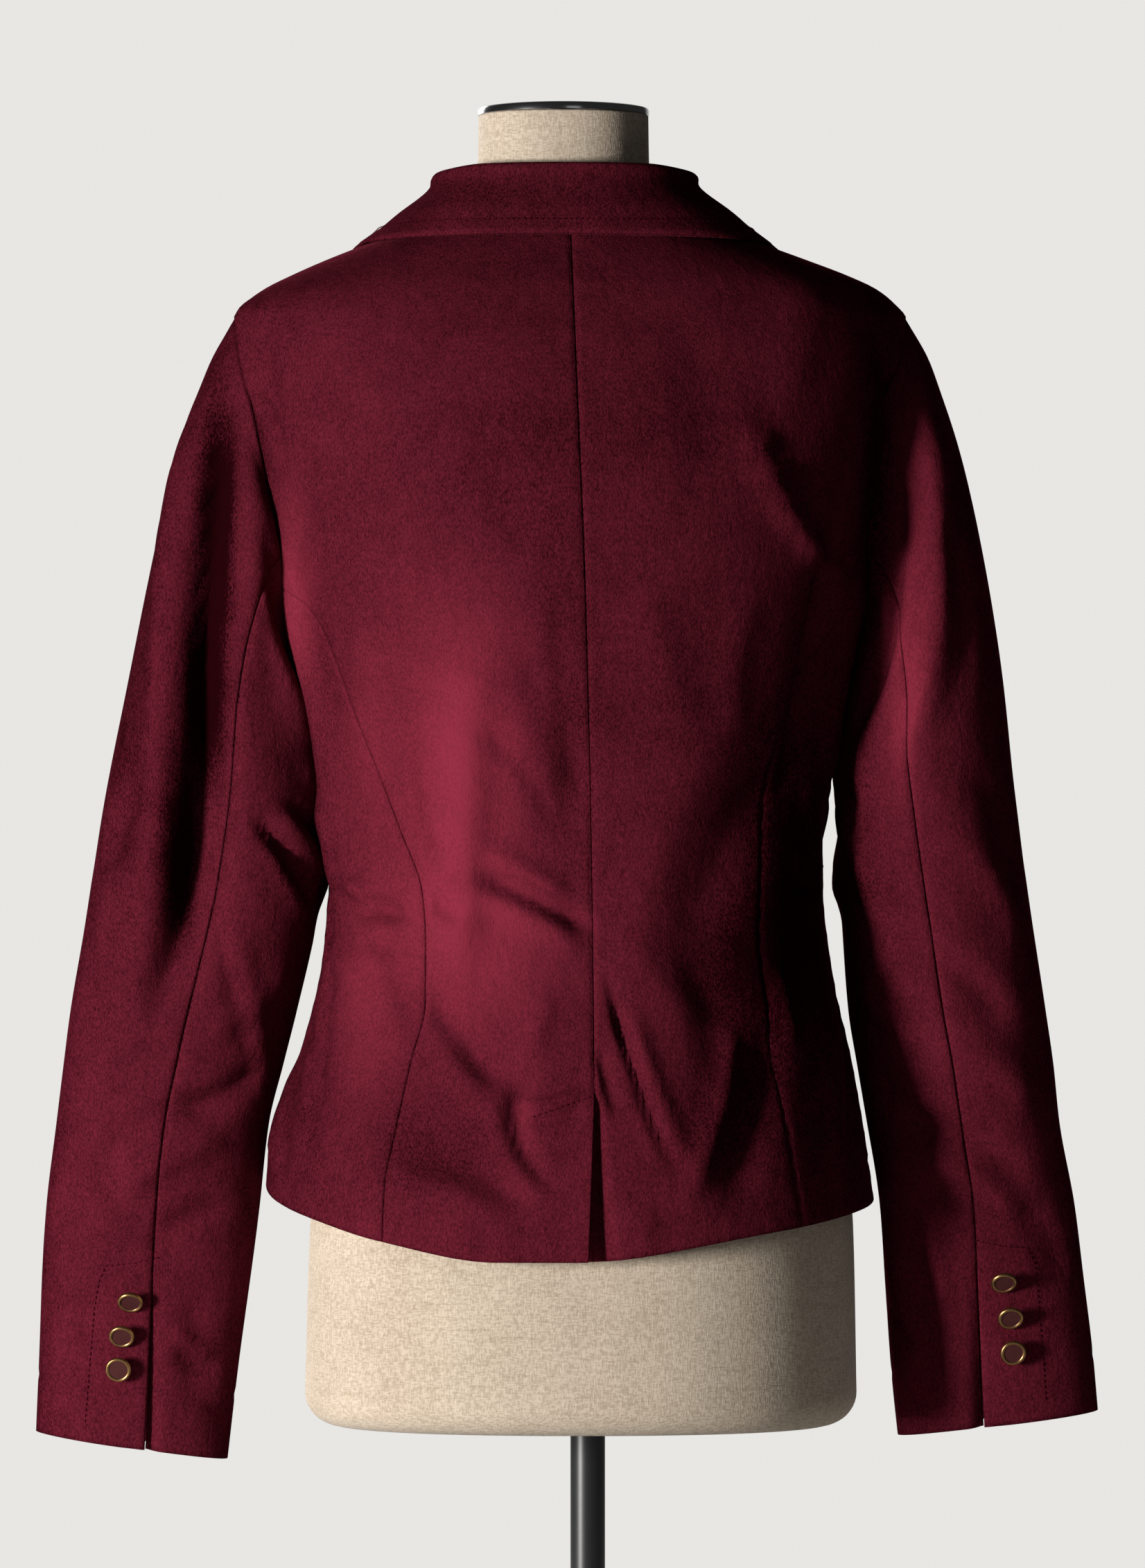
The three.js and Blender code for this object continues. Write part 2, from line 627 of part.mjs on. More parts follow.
// Collar station: s runs from 0 at the back to the last row at the front end
const COLLAR_CORNER = COLLAR.length;
const COLLAR_LAST = COLLAR.length + COLLAR_FRONT.length - 1;
const COLLAR_GAP = 1.1;
const COLLAR_STEPS = 22;
const LEAF_STEPS = 3;
const BEND = { outer: 1.1, inner: -0.7, drop: 1 };

function collarRows(isLeft) {
  const mirror = (degrees) => (isLeft ? degrees * DEG : HALF_TURN - degrees * DEG);
  const around = COLLAR.map((row) => ({
    ...row,
    angle: mirror(row.angle),
    leafAngle: mirror(row.leafAngle),
  }));
  const front = COLLAR_FRONT.map((row) => {
    const leaf = frontAngle(isLeft, row.leafZ, frontReach(row.neckZ) - row.leafWidth);
    const rolled = frontAngle(isLeft, row.neckZ, frontReach(row.neckZ));
    return {
      ...row,
      angle: isLeft ? rolled - FULL_TURN : rolled,
      leafAngle: isLeft ? leaf - FULL_TURN : leaf,
    };
  });
  return [...around, ...front].map((row, s) => ({ ...row, s }));
}

function collarSide(isLeft) {
  const rows = collarRows(isLeft);
  const along = (column) => curve(rows, 's', column);
  const tables = {
    angle: along('angle'),
    neckZ: along('neckZ'),
    leafAngle: along('leafAngle'),
    leafZ: along('leafZ'),
    stand: along('stand'),
    lean: along('lean'),
  };
  return (s) => {
    const neckZ = tables.neckZ(s);
    let angle = tables.angle(s);
    if (s >= COLLAR_CORNER) {
      const rolled = frontAngle(isLeft, neckZ, frontReach(neckZ) + COLLAR_GAP);
      angle = isLeft ? rolled - FULL_TURN : rolled;
    }
    return {
      angle,
      neckZ: s <= COLLAR_CORNER ? neckZ + COLLAR_GAP : neckZ,
      leafAngle: tables.leafAngle(s),
      leafZ: tables.leafZ(s),
      stand: tables.stand(s),
      lean: tables.lean(s),
    };
  };
}

// Collar: a leaf that lies on the shoulders, a bend, and a stand down to the neckline
function collar() {
  const sides = { left: collarSide(true), right: collarSide(false) };
  const point = (column, row, side) => {
    const s = Math.abs(column - COLLAR_STEPS) * (COLLAR_LAST / COLLAR_STEPS);
    const at = sides[column <= COLLAR_STEPS ? 'left' : 'right'](s);
    const out = bodyNormal(at.angle, at.neckZ);
    const rise = new THREE.Vector3(0, 0, 1).addScaledVector(out, at.lean).normalize();
    const neck = (lift, height) => body.at(at.angle, at.neckZ)
      .addScaledVector(out, lift).addScaledVector(rise, height);
    if (row <= LEAF_STEPS) {
      const share = row / LEAF_STEPS;
      const angle = mix(at.leafAngle, at.angle, share);
      const z = mix(at.leafZ, at.neckZ, share);
      const lift = LAYER + (1 - side) * CLOTH;
      return skin(angle, z, lift).addScaledVector(rise, (at.stand - BEND.drop) * share);
    }
    const steps = [
      neck(LAYER / 2, at.stand + (side ? BEND.inner : BEND.outer)),
      neck(side ? 0 : -CLOTH, at.stand - BEND.drop),
      neck(side ? 0 : -CLOTH, 0),
    ];
    return steps[row - LEAF_STEPS - 1];
  };
  return wall(2 * COLLAR_STEPS, LEAF_STEPS + 3, point);
}

// Sleeve surface: the share runs from the armhole, past the head, down to the cuff
const HEAD_SHARE = 0.3;
const HEAD_Z = 634;
const SLEEVE_SQUARENESS = 2.2;
const SLEEVE_RADIUS = 52;
const HEAD_PULL = { top: { x: 108, z: 188 }, bottom: { x: 12, z: 30 }, side: 24 };
const HEAD_SETTLE = 5;
const ARMHOLE_GAP = 0.6;
const FOLD_FADE = 0.06;

function sleeve(isLeft) {
  const sign = isLeft ? 1 : -1;
  const table = isLeft ? SLEEVE_LEFT : SLEEVE_RIGHT;
  const cuffZ = table[0].z;
  const outer = curve(table, 'z', 'outer');
  const inner = curve(table, 'z', 'inner');
  const middle = curve(SLEEVE_DEPTH, 'z', 'middle');
  const half = curve(SLEEVE_DEPTH, 'z', 'half');
  const slant = curve(SLEEVE_DEPTH, 'z', 'slant');
  const ring = (phi, z) => new THREE.Vector3(
    mix(inner(z), outer(z), (1 + power(Math.cos(phi), 2 / SLEEVE_SQUARENESS)) / 2),
    middle(z) + half(z) * power(Math.sin(phi), 2 / SLEEVE_SQUARENESS),
    z + slant(z) * Math.cos(phi),
  );
  const armhole = (phi) => {
    const z = ARMHOLE.z + ARMHOLE.halfHeight * Math.cos(phi);
    const y = (Math.sin(phi) >= 0 ? ARMHOLE.back : ARMHOLE.front) * Math.sin(phi);
    const point = skin(body.angleAtY(y, z, !isLeft), z, 0);
    return point.add(new THREE.Vector3(sign * ARMHOLE_GAP, 0, 0));
  };
  const at = (phi, share) => {
    if (share >= HEAD_SHARE) {
      return ring(phi, mix(HEAD_Z, cuffZ, (share - HEAD_SHARE) / (1 - HEAD_SHARE)));
    }
    const s = share / HEAD_SHARE;
    const from = armhole(phi);
    const to = ring(phi, HEAD_Z);
    const high = (1 + Math.cos(phi)) / 2;
    const pull = new THREE.Vector3(
      sign * mix(HEAD_PULL.bottom.x, HEAD_PULL.top.x, high),
      HEAD_PULL.side * Math.sin(phi),
      -mix(HEAD_PULL.bottom.z, HEAD_PULL.top.z, high),
    );
    const drop = from.z - HEAD_Z;
    const settle = ring(phi, HEAD_Z - HEAD_SETTLE).sub(to).multiplyScalar(drop / HEAD_SETTLE);
    return new THREE.Vector3(
      hermite(from.x, to.x, pull.x, settle.x, s),
      hermite(from.y, to.y, pull.y, settle.y, s),
      hermite(from.z, to.z, pull.z, settle.z, s),
    );
  };
  const normal = (phi, share) => normalOf(at, phi, share, SLEEVE_STEP.phi, SLEEVE_STEP.share)
    .multiplyScalar(-sign);
  const surface = (phi, share, lift) => {
    const base = at(phi, share);
    const folds = SLEEVE_FOLDS.reduce((sum, fold) => {
      const across = turn(fold.angle * DEG, phi) * SLEEVE_RADIUS;
      return sum + foldHeight(fold, across, base.z - fold.z);
    }, 0);
    return base.addScaledVector(normal(phi, share), lift + folds * clamp01(share / FOLD_FADE));
  };
  return { at, normal, surface, cuffZ, outer, inner };
}

const SLEEVES = { left: sleeve(true), right: sleeve(false) };
const sleeveSeam = {
  back: curve(SLEEVE_SEAMS, 'share', 'back'),
  front: curve(SLEEVE_SEAMS, 'share', 'front'),
};
const SLEEVE_ROWS = { head: 8, arm: 19 };
const TOP_SLEEVE_COLUMNS = 9;
const UNDER_SLEEVE_COLUMNS = 7;

// One piece of a two-piece sleeve: the top sleeve outside or the under sleeve inside
function sleevePiece(isLeft, isTop) {
  const { surface } = SLEEVES[isLeft ? 'left' : 'right'];
  const columns = isTop ? TOP_SLEEVE_COLUMNS : UNDER_SLEEVE_COLUMNS;
  const gap = SEAM / 2 / SLEEVE_RADIUS;
  const point = (column, row, side) => {
    const share = row <= SLEEVE_ROWS.head
      ? (HEAD_SHARE * row) / SLEEVE_ROWS.head
      : mix(HEAD_SHARE, 1, (row - SLEEVE_ROWS.head) / SLEEVE_ROWS.arm);
    const back = sleeveSeam.back(share) * DEG;
    const front = sleeveSeam.front(share) * DEG;
    const from = isTop ? front - FULL_TURN + gap : back + gap;
    const to = isTop ? back - gap : front - gap;
    return surface(mix(from, to, column / columns), share, -side * CLOTH);
  };
  return wall(columns, SLEEVE_ROWS.head + SLEEVE_ROWS.arm, point);
}

// Closed smooth body through a list of section rings, from the bottom ring to the top one
function closedRings(rings) {
  const positions = rings.flat();
  const triangles = [];
  const count = rings[0].length;
  const centre = (ring) => ring.reduce((sum, p) => sum.add(p), new THREE.Vector3())
    .divideScalar(ring.length);
  rings.slice(1).forEach((_, level) => {
    for (let i = 0; i < count; i += 1) {
      const a = level * count + i;
      const b = level * count + ((i + 1) % count);
      triangles.push(a, b, b + count, a, b + count, a + count);
    }
  });
  const bottom = positions.push(centre(rings[0])) - 1;
  const top = positions.push(centre(rings[rings.length - 1])) - 1;
  const lastRing = (rings.length - 1) * count;
  for (let i = 0; i < count; i += 1) {
    const next = (i + 1) % count;
    triangles.push(bottom, next, i, top, lastRing + i, lastRing + next);
  }
  return facingOut(positions, triangles);
}

const FORM_COLUMNS = 28;
const FORM_ROUND_STEPS = 3;
const FORM_NECK_STEP = 15;

// Torso of the dress form, with a rounded bottom edge
function formTorso() {
  const form = sections(FORM);
  const ring = (z, inset) => Array.from({ length: FORM_COLUMNS }, (_, i) => {
    const angle = (i / FORM_COLUMNS) * FULL_TURN;
    const point = form.at(angle, z);
    const out = normalOf(form.at, angle, z, BODY_STEP.angle, BODY_STEP.z).setZ(0).normalize();
    return point.addScaledVector(out, -inset);
  });
  const edge = Array.from({ length: FORM_ROUND_STEPS }, (_, i) => {
    const tilt = (i / FORM_ROUND_STEPS) * (Math.PI / 2);
    const shifted = ring(FORM_BOTTOM + FORM_ROUND, FORM_ROUND * (1 - Math.sin(tilt)));
    return shifted.map((p) => p.setZ(FORM_BOTTOM + FORM_ROUND * (1 - Math.cos(tilt))));
  });
  const levels = FORM.flatMap((row, i) => {
    const next = FORM[i + 1];
    const far = next && next.z - row.z > 2 * FORM_NECK_STEP;
    return far ? [row.z, (row.z + next.z) / 2] : [row.z];
  });
  return closedRings([...edge, ...levels.map((z) => ring(z, 0))]);
}

// Turned piece standing on the floor's axis or at a place
function turned(profile, segments) {
  const points = profile.map(([radius, height]) => new THREE.Vector2(radius, height));
  return new THREE.LatheGeometry(points, segments).rotateX(Math.PI / 2);
}

const SEGMENTS = { base: 32, socket: 24, pole: 20, neck: 28, button: 10 };

function basePlate() {
  const { radius, height, edge } = BASE;
  return turned([
    [0, 0], [radius, 0], [radius, height - edge], [radius - edge, height], [0, height],
  ], SEGMENTS.base);
}

function poleSocket() {
  const { radius, edge } = SOCKET;
  const bore = POLE_RADIUS + SOCKET.clearance;
  const bottom = BASE.height + SEAM;
  const top = bottom + SOCKET.height;
  const foot = radius + FLANGE.width;
  return turned([
    [bore, bottom], [foot, bottom], [foot, bottom + FLANGE.rim], [radius, bottom + FLANGE.rise],
    [radius, top - edge], [radius - edge, top], [bore, top], [bore, bottom],
  ], SEGMENTS.socket);
}

function pole() {
  const bottom = BASE.height + SEAM;
  const top = FORM_BOTTOM - SEAM;
  return turned([[0, bottom], [POLE_RADIUS, bottom], [POLE_RADIUS, top], [0, top]], SEGMENTS.pole);
}

function neckCap() {
  const { z, height, radius, edge } = NECK_CAP;
  const top = z + height;
  return turned([[0, z], [radius, z], [radius, top - edge], [radius - edge, top], [0, top]], SEGMENTS.neck)
    .translate(NECK_CENTRE.x, NECK_CENTRE.y, 0);
}

// Shank button, its axis along +Z from the cloth: shank, cup, domed rim and sunk flat face
const BUTTON_PROFILE = [
  { share: 0, height: SEAM },
  { share: 0.3, height: SEAM },
  { share: 0.3, height: 1.8 },
  { share: 0.85, height: 2.2 },
  { share: 1, height: 3.7 },
  { share: 0.88, height: 5 },
  { share: 0.7, height: 4.4 },
  { share: 0, height: 4.4 },
];

function button(radius) {
  const profile = BUTTON_PROFILE.map(({ share, height }) => [radius * share, height]);
  return turned(profile, SEGMENTS.button);
}

function seat(mesh, point, normal) {
  mesh.position.copy(point);
  mesh.quaternion.setFromUnitVectors(new THREE.Vector3(0, 0, 1), normal);
}

const garment = new THREE.Group();

function add(name, geometry, finish) {
  const mesh = new THREE.Mesh(geometry, new THREE.MeshStandardMaterial(finish));
  mesh.name = name;
  garment.add(mesh);
  return mesh;
}

['left', 'right'].forEach((side) => {
  const isLeft = side === 'left';
  add(`back_${side}`, centreBackPanel(isLeft), VELVET);
  add(`side_back_${side}`, sideBackPanel(isLeft), VELVET);
  add(`front_${side}`, frontPanel(isLeft), VELVET);
  add(`lapel_${side}`, lapel(isLeft), VELVET);
  add(`top_sleeve_${side}`, sleevePiece(isLeft, true), VELVET);
  add(`under_sleeve_${side}`, sleevePiece(isLeft, false), VELVET);
});
add('collar', collar(), VELVET);

// Cuff buttons sit on the back of each sleeve, beside its seam
['left', 'right'].forEach((side) => {
  const { at, normal, surface, cuffZ, outer, inner } = SLEEVES[side];
  const places = side === 'left' ? BUTTONS_LEFT : BUTTONS_RIGHT;
  places.forEach(({ x, z }, i) => {
    const share = mix(HEAD_SHARE, 1, (z - HEAD_Z) / (cuffZ - HEAD_Z));
    const across = (2 * (x - inner(z))) / (outer(z) - inner(z)) - 1;
    const phi = Math.acos(power(across, SLEEVE_SQUARENESS / 2));
    const mesh = add(`cuff_button_${side}_${i + 1}`, button(CUFF_BUTTON_RADIUS), OLD_BRASS);
    seat(mesh, surface(phi, share, 0), normal(phi, share));
  });
});

BUTTONS_FRONT.forEach(({ z }, i) => {
  const angle = frontAngle(false, z, 0);
  const mesh = add(`front_button_${i + 1}`, button(FRONT_BUTTON_RADIUS), OLD_BRASS);
  seat(mesh, frontSkin(false, angle, z, 0), bodyNormal(angle, z));
});

add('form_torso', formTorso(), LINEN);
add('neck_cap', neckCap(), DARK_CHROME);
add('pole', pole(), SATIN_BLACK);
add('pole_socket', poleSocket(), SATIN_BLACK);
add('base_plate', basePlate(), SATIN_BLACK);

export default garment;
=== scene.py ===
"""A fitted velvet blazer on a linen dress form and stand, seen from the back.

Tables are in millimetres in the CAD frame: +Z up, the jacket's front faces -Y, the wearer's
left is +X. Meshes are made in metres.
"""
import math

import bpy
import numpy as np
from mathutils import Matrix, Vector


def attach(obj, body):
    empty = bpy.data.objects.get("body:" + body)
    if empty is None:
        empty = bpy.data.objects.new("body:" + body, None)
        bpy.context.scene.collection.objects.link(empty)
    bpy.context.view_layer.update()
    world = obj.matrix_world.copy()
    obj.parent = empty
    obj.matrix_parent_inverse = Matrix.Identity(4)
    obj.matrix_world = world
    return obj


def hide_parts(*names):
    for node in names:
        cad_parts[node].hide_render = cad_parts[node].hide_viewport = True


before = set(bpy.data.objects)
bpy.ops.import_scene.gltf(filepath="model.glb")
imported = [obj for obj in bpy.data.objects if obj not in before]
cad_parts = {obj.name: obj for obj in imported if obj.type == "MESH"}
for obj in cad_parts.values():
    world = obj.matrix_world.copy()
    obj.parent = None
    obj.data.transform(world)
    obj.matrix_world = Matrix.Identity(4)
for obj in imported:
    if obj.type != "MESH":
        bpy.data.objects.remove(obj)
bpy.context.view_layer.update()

MM = 0.001
CLOTH = 1.8
LAYER = 0.7
SEAM = 0.3
BODY_ROOT = "root"
FULL = 2 * math.pi

# Photo's height in pixels, and the camera's place, focal length and sensor
PHOTO_HEIGHT = 2263
CAMERA = {"x": 8.8, "y": 4200.0, "z": 589.0, "focal_px": 10500.0, "sensor_mm": 36.0}


def table(names, *rows):
    """Columns by name from rows of numbers."""
    return {name: np.array(column, float) for name, column in zip(names.split(), zip(*rows))}


BODY = table(
    "z left right back front",
    (300, 194, -174, 131, -126), (345, 187, -166, 129, -127), (380, 183.5, -161, 125, -124),
    (425, 168.5, -153, 117, -118), (490, 153, -140, 102, -108), (530, 150, -136, 95, -103),
    (570, 149, -136, 96, -107), (620, 153, -141, 106, -121), (680, 168, -152, 119, -134),
    (720, 181, -163, 125, -135), (765, 193, -174, 125, -126), (810, 202, -182, 117, -111),
    (840, 205, -185, 107, -98), (857, 204, -184, 98, -89), (866, 197, -177, 93, -84),
    (874, 186, -167, 88, -79), (882, 170, -150, 82, -74), (890, 152, -129, 76, -69),
    (898, 132, -107, 70, -64), (906, 110, -85, 64, -59), (915, 89, -63, 58, -54), (960, 84, -58, 58, -52),
)
HEM = table(
    "angle z",
    (0, 361), (30, 343), (46, 332), (72, 321), (92, 321), (138, 337), (165, 347), (180, 350),
    (215, 343), (270, 336), (325, 346), (360, 361),
)
CENTRE_BACK = table("z x", (300, -4.5), (420, -3.5), (530, -2.3), (700, 1.5), (800, 5.5), (915, 10))
PRINCESS = {
    "left": table(
        "z x", (300, 117), (364, 114.6), (398, 108), (434, 100), (465, 92.3), (503, 91.7),
        (528, 93.7), (563, 106.5), (625, 131.5), (680, 153), (705, 172.5),
    ),
    "right": table(
        "z x", (300, -127), (379, -115), (458, -103), (502, -98), (546, -101), (590, -104),
        (625, -113), (656, -127), (705, -154.5),
    ),
}
FRONT_EDGE = table(
    "z reach", (300, -62), (345, -34), (380, -8), (420, 9), (460, 15), (602, 15), (640, -1),
    (700, -22), (760, -38), (820, -51), (870, -60), (915, -66),
)
LAPEL_EDGE = table(
    "z width", (602, 3), (625, 17), (680, 42), (740, 58), (800, 68), (822, 70),
)
SLEEVE = {
    "left": table(
        "z outer inner", (206, 320, 209), (250, 318, 203), (300, 316, 196), (345, 313, 190),
        (394, 307, 184), (426, 303, 176), (458, 299, 168), (506, 291, 157.5), (530, 287, 154),
        (570, 280, 152.5), (634, 268, 158),
    ),
    "right": table(
        "z outer inner", (219, -296, -180), (250, -293, -177), (300, -287, -173),
        (345, -282, -169), (394, -273, -161), (426, -269, -156), (458, -264, -151),
        (506, -257, -147), (570, -249, -142.5), (600, -245, -141.5), (634, -241, -146.5),
    ),
}
SLEEVE_DEPTH = table(
    "z middle half slant", (206, -22, 28, 8), (300, -18, 33, 3), (426, -10, 41, 0),
    (570, -5, 47, 0), (634, -2, 50, 0),
)
SLEEVE_SEAMS = table(
    "share back front", (0, 122, 236), (0.35, 100, 236), (0.7, 92, 238), (1, 98, 238),
)
FORM = table(
    "z left right back front",
    (239, 163, -155, 112, -112), (335, 160, -153, 110, -110), (400, 149, -143, 101, -103),
    (460, 133, -126, 87, -93), (530, 124, -112, 76, -85), (590, 130, -118, 80, -93),
    (660, 147, -133, 97, -114), (720, 160, -144, 109, -118), (770, 168, -151, 112, -109),
    (820, 176, -157, 105, -96), (848, 180, -161, 94, -84), (863, 182, -163, 88, -79),
    (871.2, 178, -159, 84, -76), (879.2, 168, -148, 79, -72), (887.2, 152, -129, 74, -68),
    (895.2, 132, -107, 69, -63), (903.2, 110, -85, 63, -58), (912.2, 87, -60, 56, -53),
    (924, 70, -43, 49, -51), (945, 63.5, -35.5, 47, -51), (974, 63, -35, 47, -51),
)


def curve(rows, key, column):
    """Smooth curve through one column of a table, with no overshoot between its rows."""
    xs, ys = rows[key], rows[column]
    slopes = np.diff(ys) / np.diff(xs)
    before, after = slopes[:-1], slopes[1:]
    same_way = before * after > 0
    total = np.where(same_way, before + after, 1.0)
    inner = np.where(same_way, 2 * before * after / total, 0.0)
    tangents = np.concatenate([slopes[:1], inner, slopes[-1:]])

    def at(x):
        x = np.clip(x, xs[0], xs[-1])
        i = np.clip(np.searchsorted(xs, x, side="right") - 1, 0, len(xs) - 2)
        width = xs[i + 1] - xs[i]
        s = (x - xs[i]) / width
        return hermite(ys[i], ys[i + 1], tangents[i] * width, tangents[i + 1] * width, s)

    return at


def hermite(start, end, slope_start, slope_end, s):
    """Cubic between two values with a given slope at each."""
    s2, s3 = s * s, s * s * s
    return ((2 * s3 - 3 * s2 + 1) * start + (s3 - 2 * s2 + s) * slope_start
            + (3 * s2 - 2 * s3) * end + (s3 - s2) * slope_end)


def mix(a, b, s):
    return a + (b - a) * s


def smooth_step(s):
    s = np.clip(s, 0, 1)
    return s * s * (3 - 2 * s)


def power(value, exponent):
    return np.sign(value) * np.abs(value) ** exponent


def points(x, y, z):
    return np.stack(np.broadcast_arrays(x, y, z), axis=-1).astype(float)


class Sections:
    """A body of rounded horizontal sections, from side limits and depths at each height."""

    squareness = 2.35

    def __init__(self, rows):
        self.left, self.right, self.back, self.front = (
            curve(rows, "z", name) for name in ("left", "right", "back", "front"))

    def middle(self, z):
        return (self.left(z) + self.right(z)) / 2

    def half(self, z):
        return (self.left(z) - self.right(z)) / 2

    def depth(self, z, side):
        return np.where(np.asarray(side) >= 0, self.back(z), -self.front(z))

    def at(self, angle, z):
        cosine, sine = np.cos(angle), np.sin(angle)
        across = np.abs(cosine / self.half(z)) ** self.squareness
        through = np.abs(sine / self.depth(z, sine)) ** self.squareness
        radius = (across + through) ** (-1 / self.squareness)
        return points(self.middle(z) + radius * cosine, radius * sine, z)

    def rest(self, share):
        return (1 - np.minimum(1, np.abs(share)) ** self.squareness) ** (1 / self.squareness)

    def angle_at_x(self, x, z, on_front=False):
        out = x - self.middle(z)
        y = self.depth(z, -1 if on_front else 1) * self.rest(out / self.half(z))
        angle = np.arctan2(y, out)
        return FULL - angle if on_front else angle

    def angle_at_y(self, y, z, on_right):
        angle = np.arctan2(y, self.half(z) * self.rest(y / self.depth(z, y)))
        return math.pi - angle if on_right else angle


def normal_of(surface, a, b, step_a, step_b):
    """Outward direction of a surface given by a point function of two values."""
    along_a = surface(a + step_a, b) - surface(a - step_a, b)
    along_b = surface(a, b + step_b) - surface(a, b - step_b)
    normal = np.cross(along_a, along_b)
    return normal / np.maximum(np.linalg.norm(normal, axis=-1, keepdims=True), 1e-9)


def turn(start, end):
    """Shortest turn from one angle to another."""
    return np.arctan2(np.sin(end - start), np.cos(end - start))


body = Sections(BODY)
hem_height = curve({"angle": np.radians(HEM["angle"]), "z": HEM["z"]}, "angle", "z")


# Folds of the torso on both sides: ends as side distance and height, half width, height of
# the ridge (negative for a trough), and bow of the middle across the line
BACK_CREASES = (
    # left waist: one sharp crease with its lip, and the drags that run into it
    (62, 538, -2, 507, 4.5, -3.4, -2), (66, 528, 4, 498, 5.5, 2.2, -2), (58, 552, 10, 524, 7, 2.4, -1),
    (68, 649, -1, 575, 7, -1.6, -8), (78, 655, 8, 592, 8, 1.7, -8), (68, 623, 21, 564, 5, -1.5, -7),
    (86, 524, 70, 512, 4, -1.8, 2), (62, 655, 72, 478, 13, 3.2, 6), (40, 672, 10, 556, 12, -2.4, -6),
    (96, 610, 78, 540, 8, -1.6, 5), (27, 690, 14, 600, 7, 1.4, 3),
    # left below the waist
    (88, 470, 48, 420, 7, -2.6, 4), (80, 452, 52, 404, 8, 1.8, 4), (49, 424, 27, 358, 7, 3.0, 9),
    (38, 420, 18, 362, 4, -1.8, 9), (113, 384, 30, 355, 10, -2.6, -5), (104, 366, 40, 338, 9, 1.8, -5),
    (41, 416, -1, 424, 3.2, -1.8, 3), (36, 408, 4, 418, 4, 1.4, 3), (30, 399, 3, 406, 3.5, -1.4, 2),
    (72, 345, 66, 325, 9, 1.6, 0), (20, 470, 30, 436, 8, 1.4, 2),
    # left upper back
    (191, 868, 189, 806, 6, 2.6, -3), (181, 862, 176, 792, 8, -1.8, 2), (174, 782, 191, 812, 5, -2.4, 2),
    (150, 752, 168, 700, 9, -1.8, 4), (118, 880, 96, 780, 16, 0.9, 6), (60, 820, 30, 720, 18, -0.9, 5),
    (130, 716, 112, 628, 11, 1.4, 6),
    # left side: the fold that crosses it at the waist and the bands below
    (140, 556, 123, 517, 4, 3.0, 2), (125, 525, 104, 513, 5, -3.2, 1), (134, 516, 106, 444, 6, 2.4, -3),
    (149, 540, 156, 372, 5, -3.6, 0), (124, 500, 106, 492, 4, -1.6, 0),
    # right upper back: a black trough beside the sleeve and the curved ridge along it
    (-163, 846, -160, 664, 8, -5.0, -3), (-88, 801, -146, 704, 6, 3.6, 17),
    (-139, 738, -112, 590, 7, -4.6, 0), (-168, 850, -171, 780, 5, 1.6, 0),
    (-120, 880, -112, 800, 12, 1.2, 5), (-52, 850, -60, 740, 16, -1.2, -5),
    (-34, 700, -62, 610, 12, 1.3, 4),
    # right waist and below: the back turns away along a broken line
    (-90, 640, -24, 502, 20, 2.0, 3), (-112, 600, -58, 490, 24, -3.4, 2),
    (-22, 503, -66, 452, 15, 1.8, 3), (-62, 500, -88, 416, 20, -3.0, 3),
    (-12, 474, -52, 370, 3.6, -3.4, 3), (-24, 462, -56, 374, 8, 2.4, 3), (-84, 452, -58, 356, 6, 3.0, -2),
    (-104, 452, -80, 352, 11, -3.0, 3), (-6, 440, -16, 404, 4, -1.8, 1), (-34, 352, -30, 326, 9, 1.2, 0),
    (-94, 700, -84, 620, 9, 1.2, 6),
    # right side: small broken folds at the waist seam
    (-126, 592, -133, 534, 3, 2.6, 2), (-122, 556, -120, 518, 2.6, 2.2, -1),
    (-116, 530, -133, 526, 4, -3.4, 0), (-123, 516, -129, 470, 3, 2.6, 2),
    (-127, 512, -126, 488, 2.5, -2.2, 0), (-107, 486, -118, 440, 6, 2.0, 0),
    (-143, 470, -150, 372, 7, -2.6, 0), (-137, 430, -146, 352, 6, 2.2, 0),
)
# The same for the right front, with ends as degrees from the wearer's left and height; the
# left front mirrors them
FRONT_CREASES = (
    (204, 560, 226, 520, 8, -2.2, 4), (206, 536, 228, 506, 8, 2.0, 4), (212, 512, 234, 494, 7, -1.9, 3),
    (214, 640, 236, 560, 12, 1.8, 8), (222, 650, 240, 600, 11, -1.6, 7), (200, 460, 212, 380, 12, 1.8, 5),
    (216, 450, 226, 376, 12, -1.7, 5), (210, 730, 226, 664, 12, -1.6, 6),
    (246, 598, 258, 584, 6, -1.6, 2), (246, 500, 258, 494, 6, -1.6, 2),
)
# Sides and fronts, with the same ends
SIDE_CREASES = (
    # ridges of the side panels under the arms
    (13, 722, 13, 520, 15, 5.6, 0), (167, 722, 167, 572, 15, 5.0, 0),
    # left side
    (6, 450, 22, 437, 6, -2.0, 2), (20, 524, 36, 514, 5, -2.0, 2), (14, 536, 34, 528, 6, 2.0, 2),
    (8, 500, 30, 486, 8, 1.8, 3), (352, 560, 372, 520, 8, -1.8, 3), (358, 610, 376, 560, 10, 1.6, 3),
    (4, 430, 14, 372, 11, 1.8, 3), (14, 410, 22, 352, 9, -1.6, 3),
    # right side
    (172, 620, 188, 560, 9, 1.8, 4), (176, 560, 192, 520, 8, -2.0, 3),
    # fronts
    (244, 574, 258, 578, 6, 1.5, 2),
    *FRONT_CREASES,
    *((540 - a, za, 540 - b, zb, half, height, -bow)
      for a, za, b, zb, half, height, bow in FRONT_CREASES),
)
